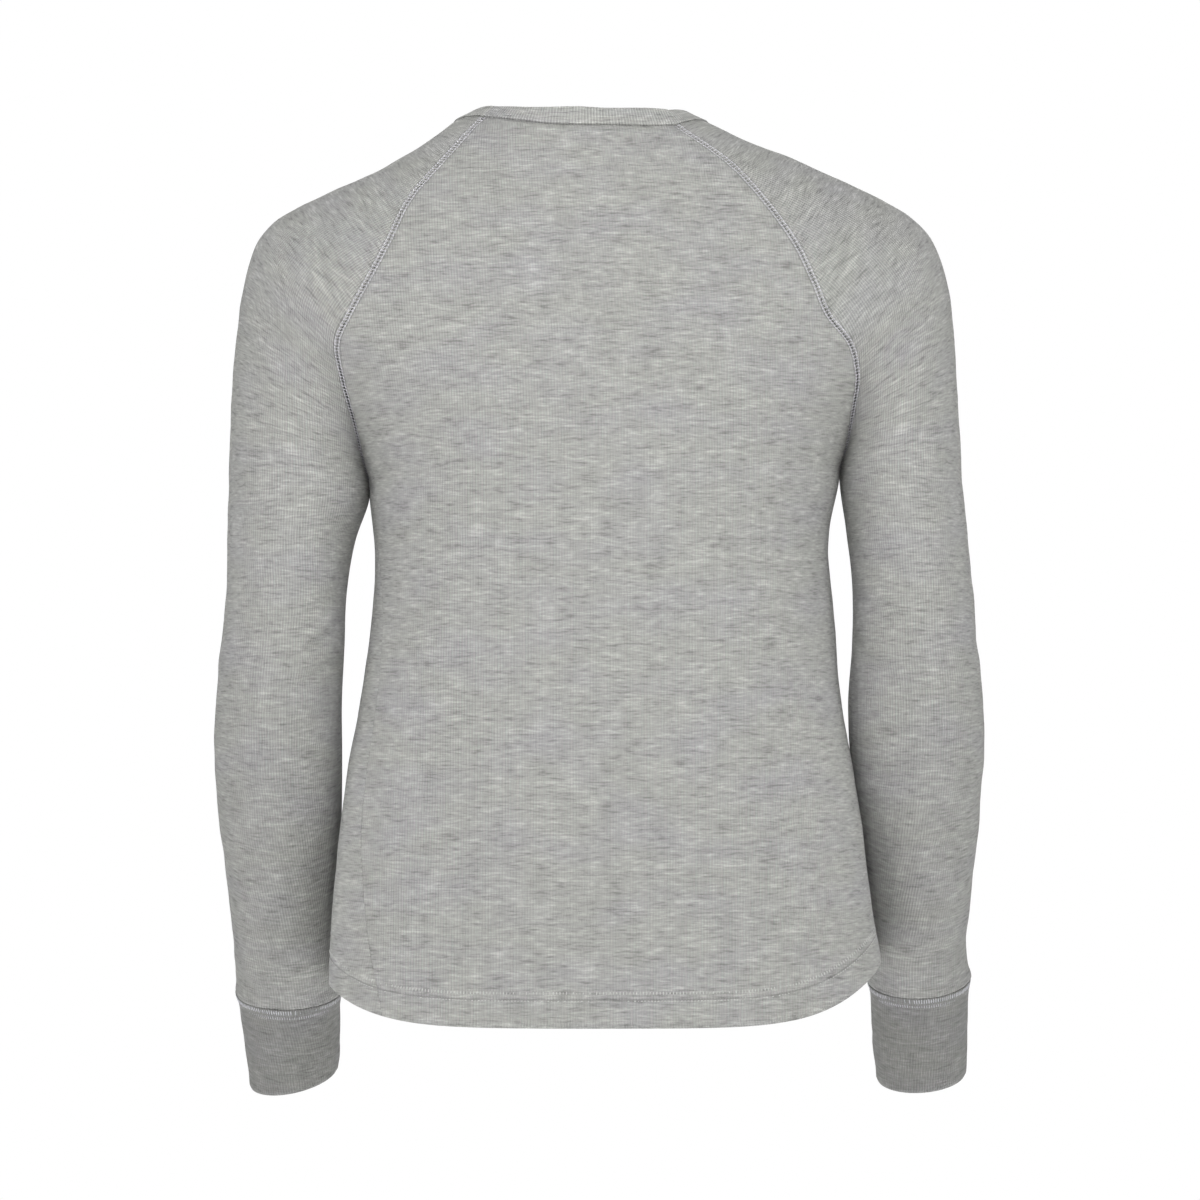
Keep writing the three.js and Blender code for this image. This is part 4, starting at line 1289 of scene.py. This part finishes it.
def raglan_stitches(name, side):
    panel, arm = panel_surface[name], sleeve_surface[side]
    on_panel = seam_lines(panel, points(0, FACE[name], 0), side == "left")
    on_sleeve = seam_lines(arm, outward_from(arm), name == "back")
    groups = []
    rows = []
    for lines, outs in (on_panel, on_sleeve):
        row = evenly(offset_line(lines, outs, ROW_OFFSET), SEAM_PITCH)
        rows.append(row)
        groups.append(beads(*row, SEAM_BEAD, shift=len(rows)))
    count = min(len(row[0]) for row in rows)
    panel_row, sleeve_row = ([part[:count] for part in row] for row in rows)
    middle = (panel_row[0] + sleeve_row[0]) / 2
    out = panel_row[2] + sleeve_row[2]
    out /= size_of(out)
    across = sleeve_row[0] - panel_row[0]
    groups.append(beads(middle, across / size_of(across), out, CROSSING_THREAD))
    stitches(f"raglan_stitches_{name}_{side}", groups, seam_thread)


for name in FACE:
    for side in SIGN:
        raglan_stitches(name, side)

# %% [markdown]
# The hem's two rows of stitching lie across the ribs. The lower one has sunk into a groove, darkened in the
# knit's colour as painted shade, and the upper one is a faint ladder of short bars, in a thread a little
# lighter than the yarn.

# %% Hem stitches
HEM_PITCH = 2.1
HEM_ROWS = [
    # height above the edge in mm, bead
    (HEM_DEPTH - 0.8, (1.5, 0.7, 0.5, 4, 0.2, 0.6)),
    (HEM_DEPTH + 4.2, (2.2, 0.8, 0.5, 86, 0.05, 0.5)),
]

for name in FACE:
    surface = panel_surface[name]
    grids = (surface, way_out(surface, points(0, FACE[name], 0)))
    upwards = [np.swapaxes(grid, 0, 1)[2:-2, ::-1] for grid in grids]
    bars(f"hem_stitches_{name}", upwards, HEM_ROWS, HEM_PITCH, hem_thread)

# %% [markdown]
# Where a cuff joins its sleeve, the machine leaves two ladders of short bars on the cuff. The upper one is
# the paler of the two.

# %% Cuff stitches
BAR_PITCH = 1.6
BARS = [
    # distance below the seam in mm, bead
    (2.3, (3.6, 0.62, 0.5, 94, 0.05, 0.6)),
    (6.6, (3.0, 0.45, 0.35, 94, 0.2, 0.4)),
]

for side in SIGN:
    surface = cuff_surface[side]
    grids = (surface, way_out(surface, outward_from(surface), closed=True))
    downwards = [np.swapaxes(grid, 0, 1) for grid in grids]
    bars(f"cuff_stitches_{side}", downwards, BARS, BAR_PITCH, cuff_thread)

# %% [markdown]
# Each cloth piece's cut is printed. The flat measures come from the grids: the widest row and the
# longest column of what shows, with the area that lies between.

# %% Cut sizes
def cut_of(piece, across, down, rests_on):
    rows = across.max(axis=1) - across.min(axis=1)
    falls = np.diff(down, axis=0).mean(axis=1)
    width = rows.max() * MM
    length = (down.max(axis=0) - down.min(axis=0)).max() * MM
    area = float(((rows[1:] + rows[:-1]) / 2 * falls).sum()) * MM * MM
    min(area, width * length)
    print(piece.name, "cut:", round(width, 3), "x", round(length, 3), "m, area", round(area, 4))


for made in panels.values():
    cut_of(*made, [f"sleeve_{side}_cloth" for side in SIGN])
for made in sleeves.values():
    cut_of(*made, ["neckband_cloth"])
for side, made in cuffs.items():
    cut_of(*made, [f"sleeve_{side}_cloth"])
cut_of(*band, [])
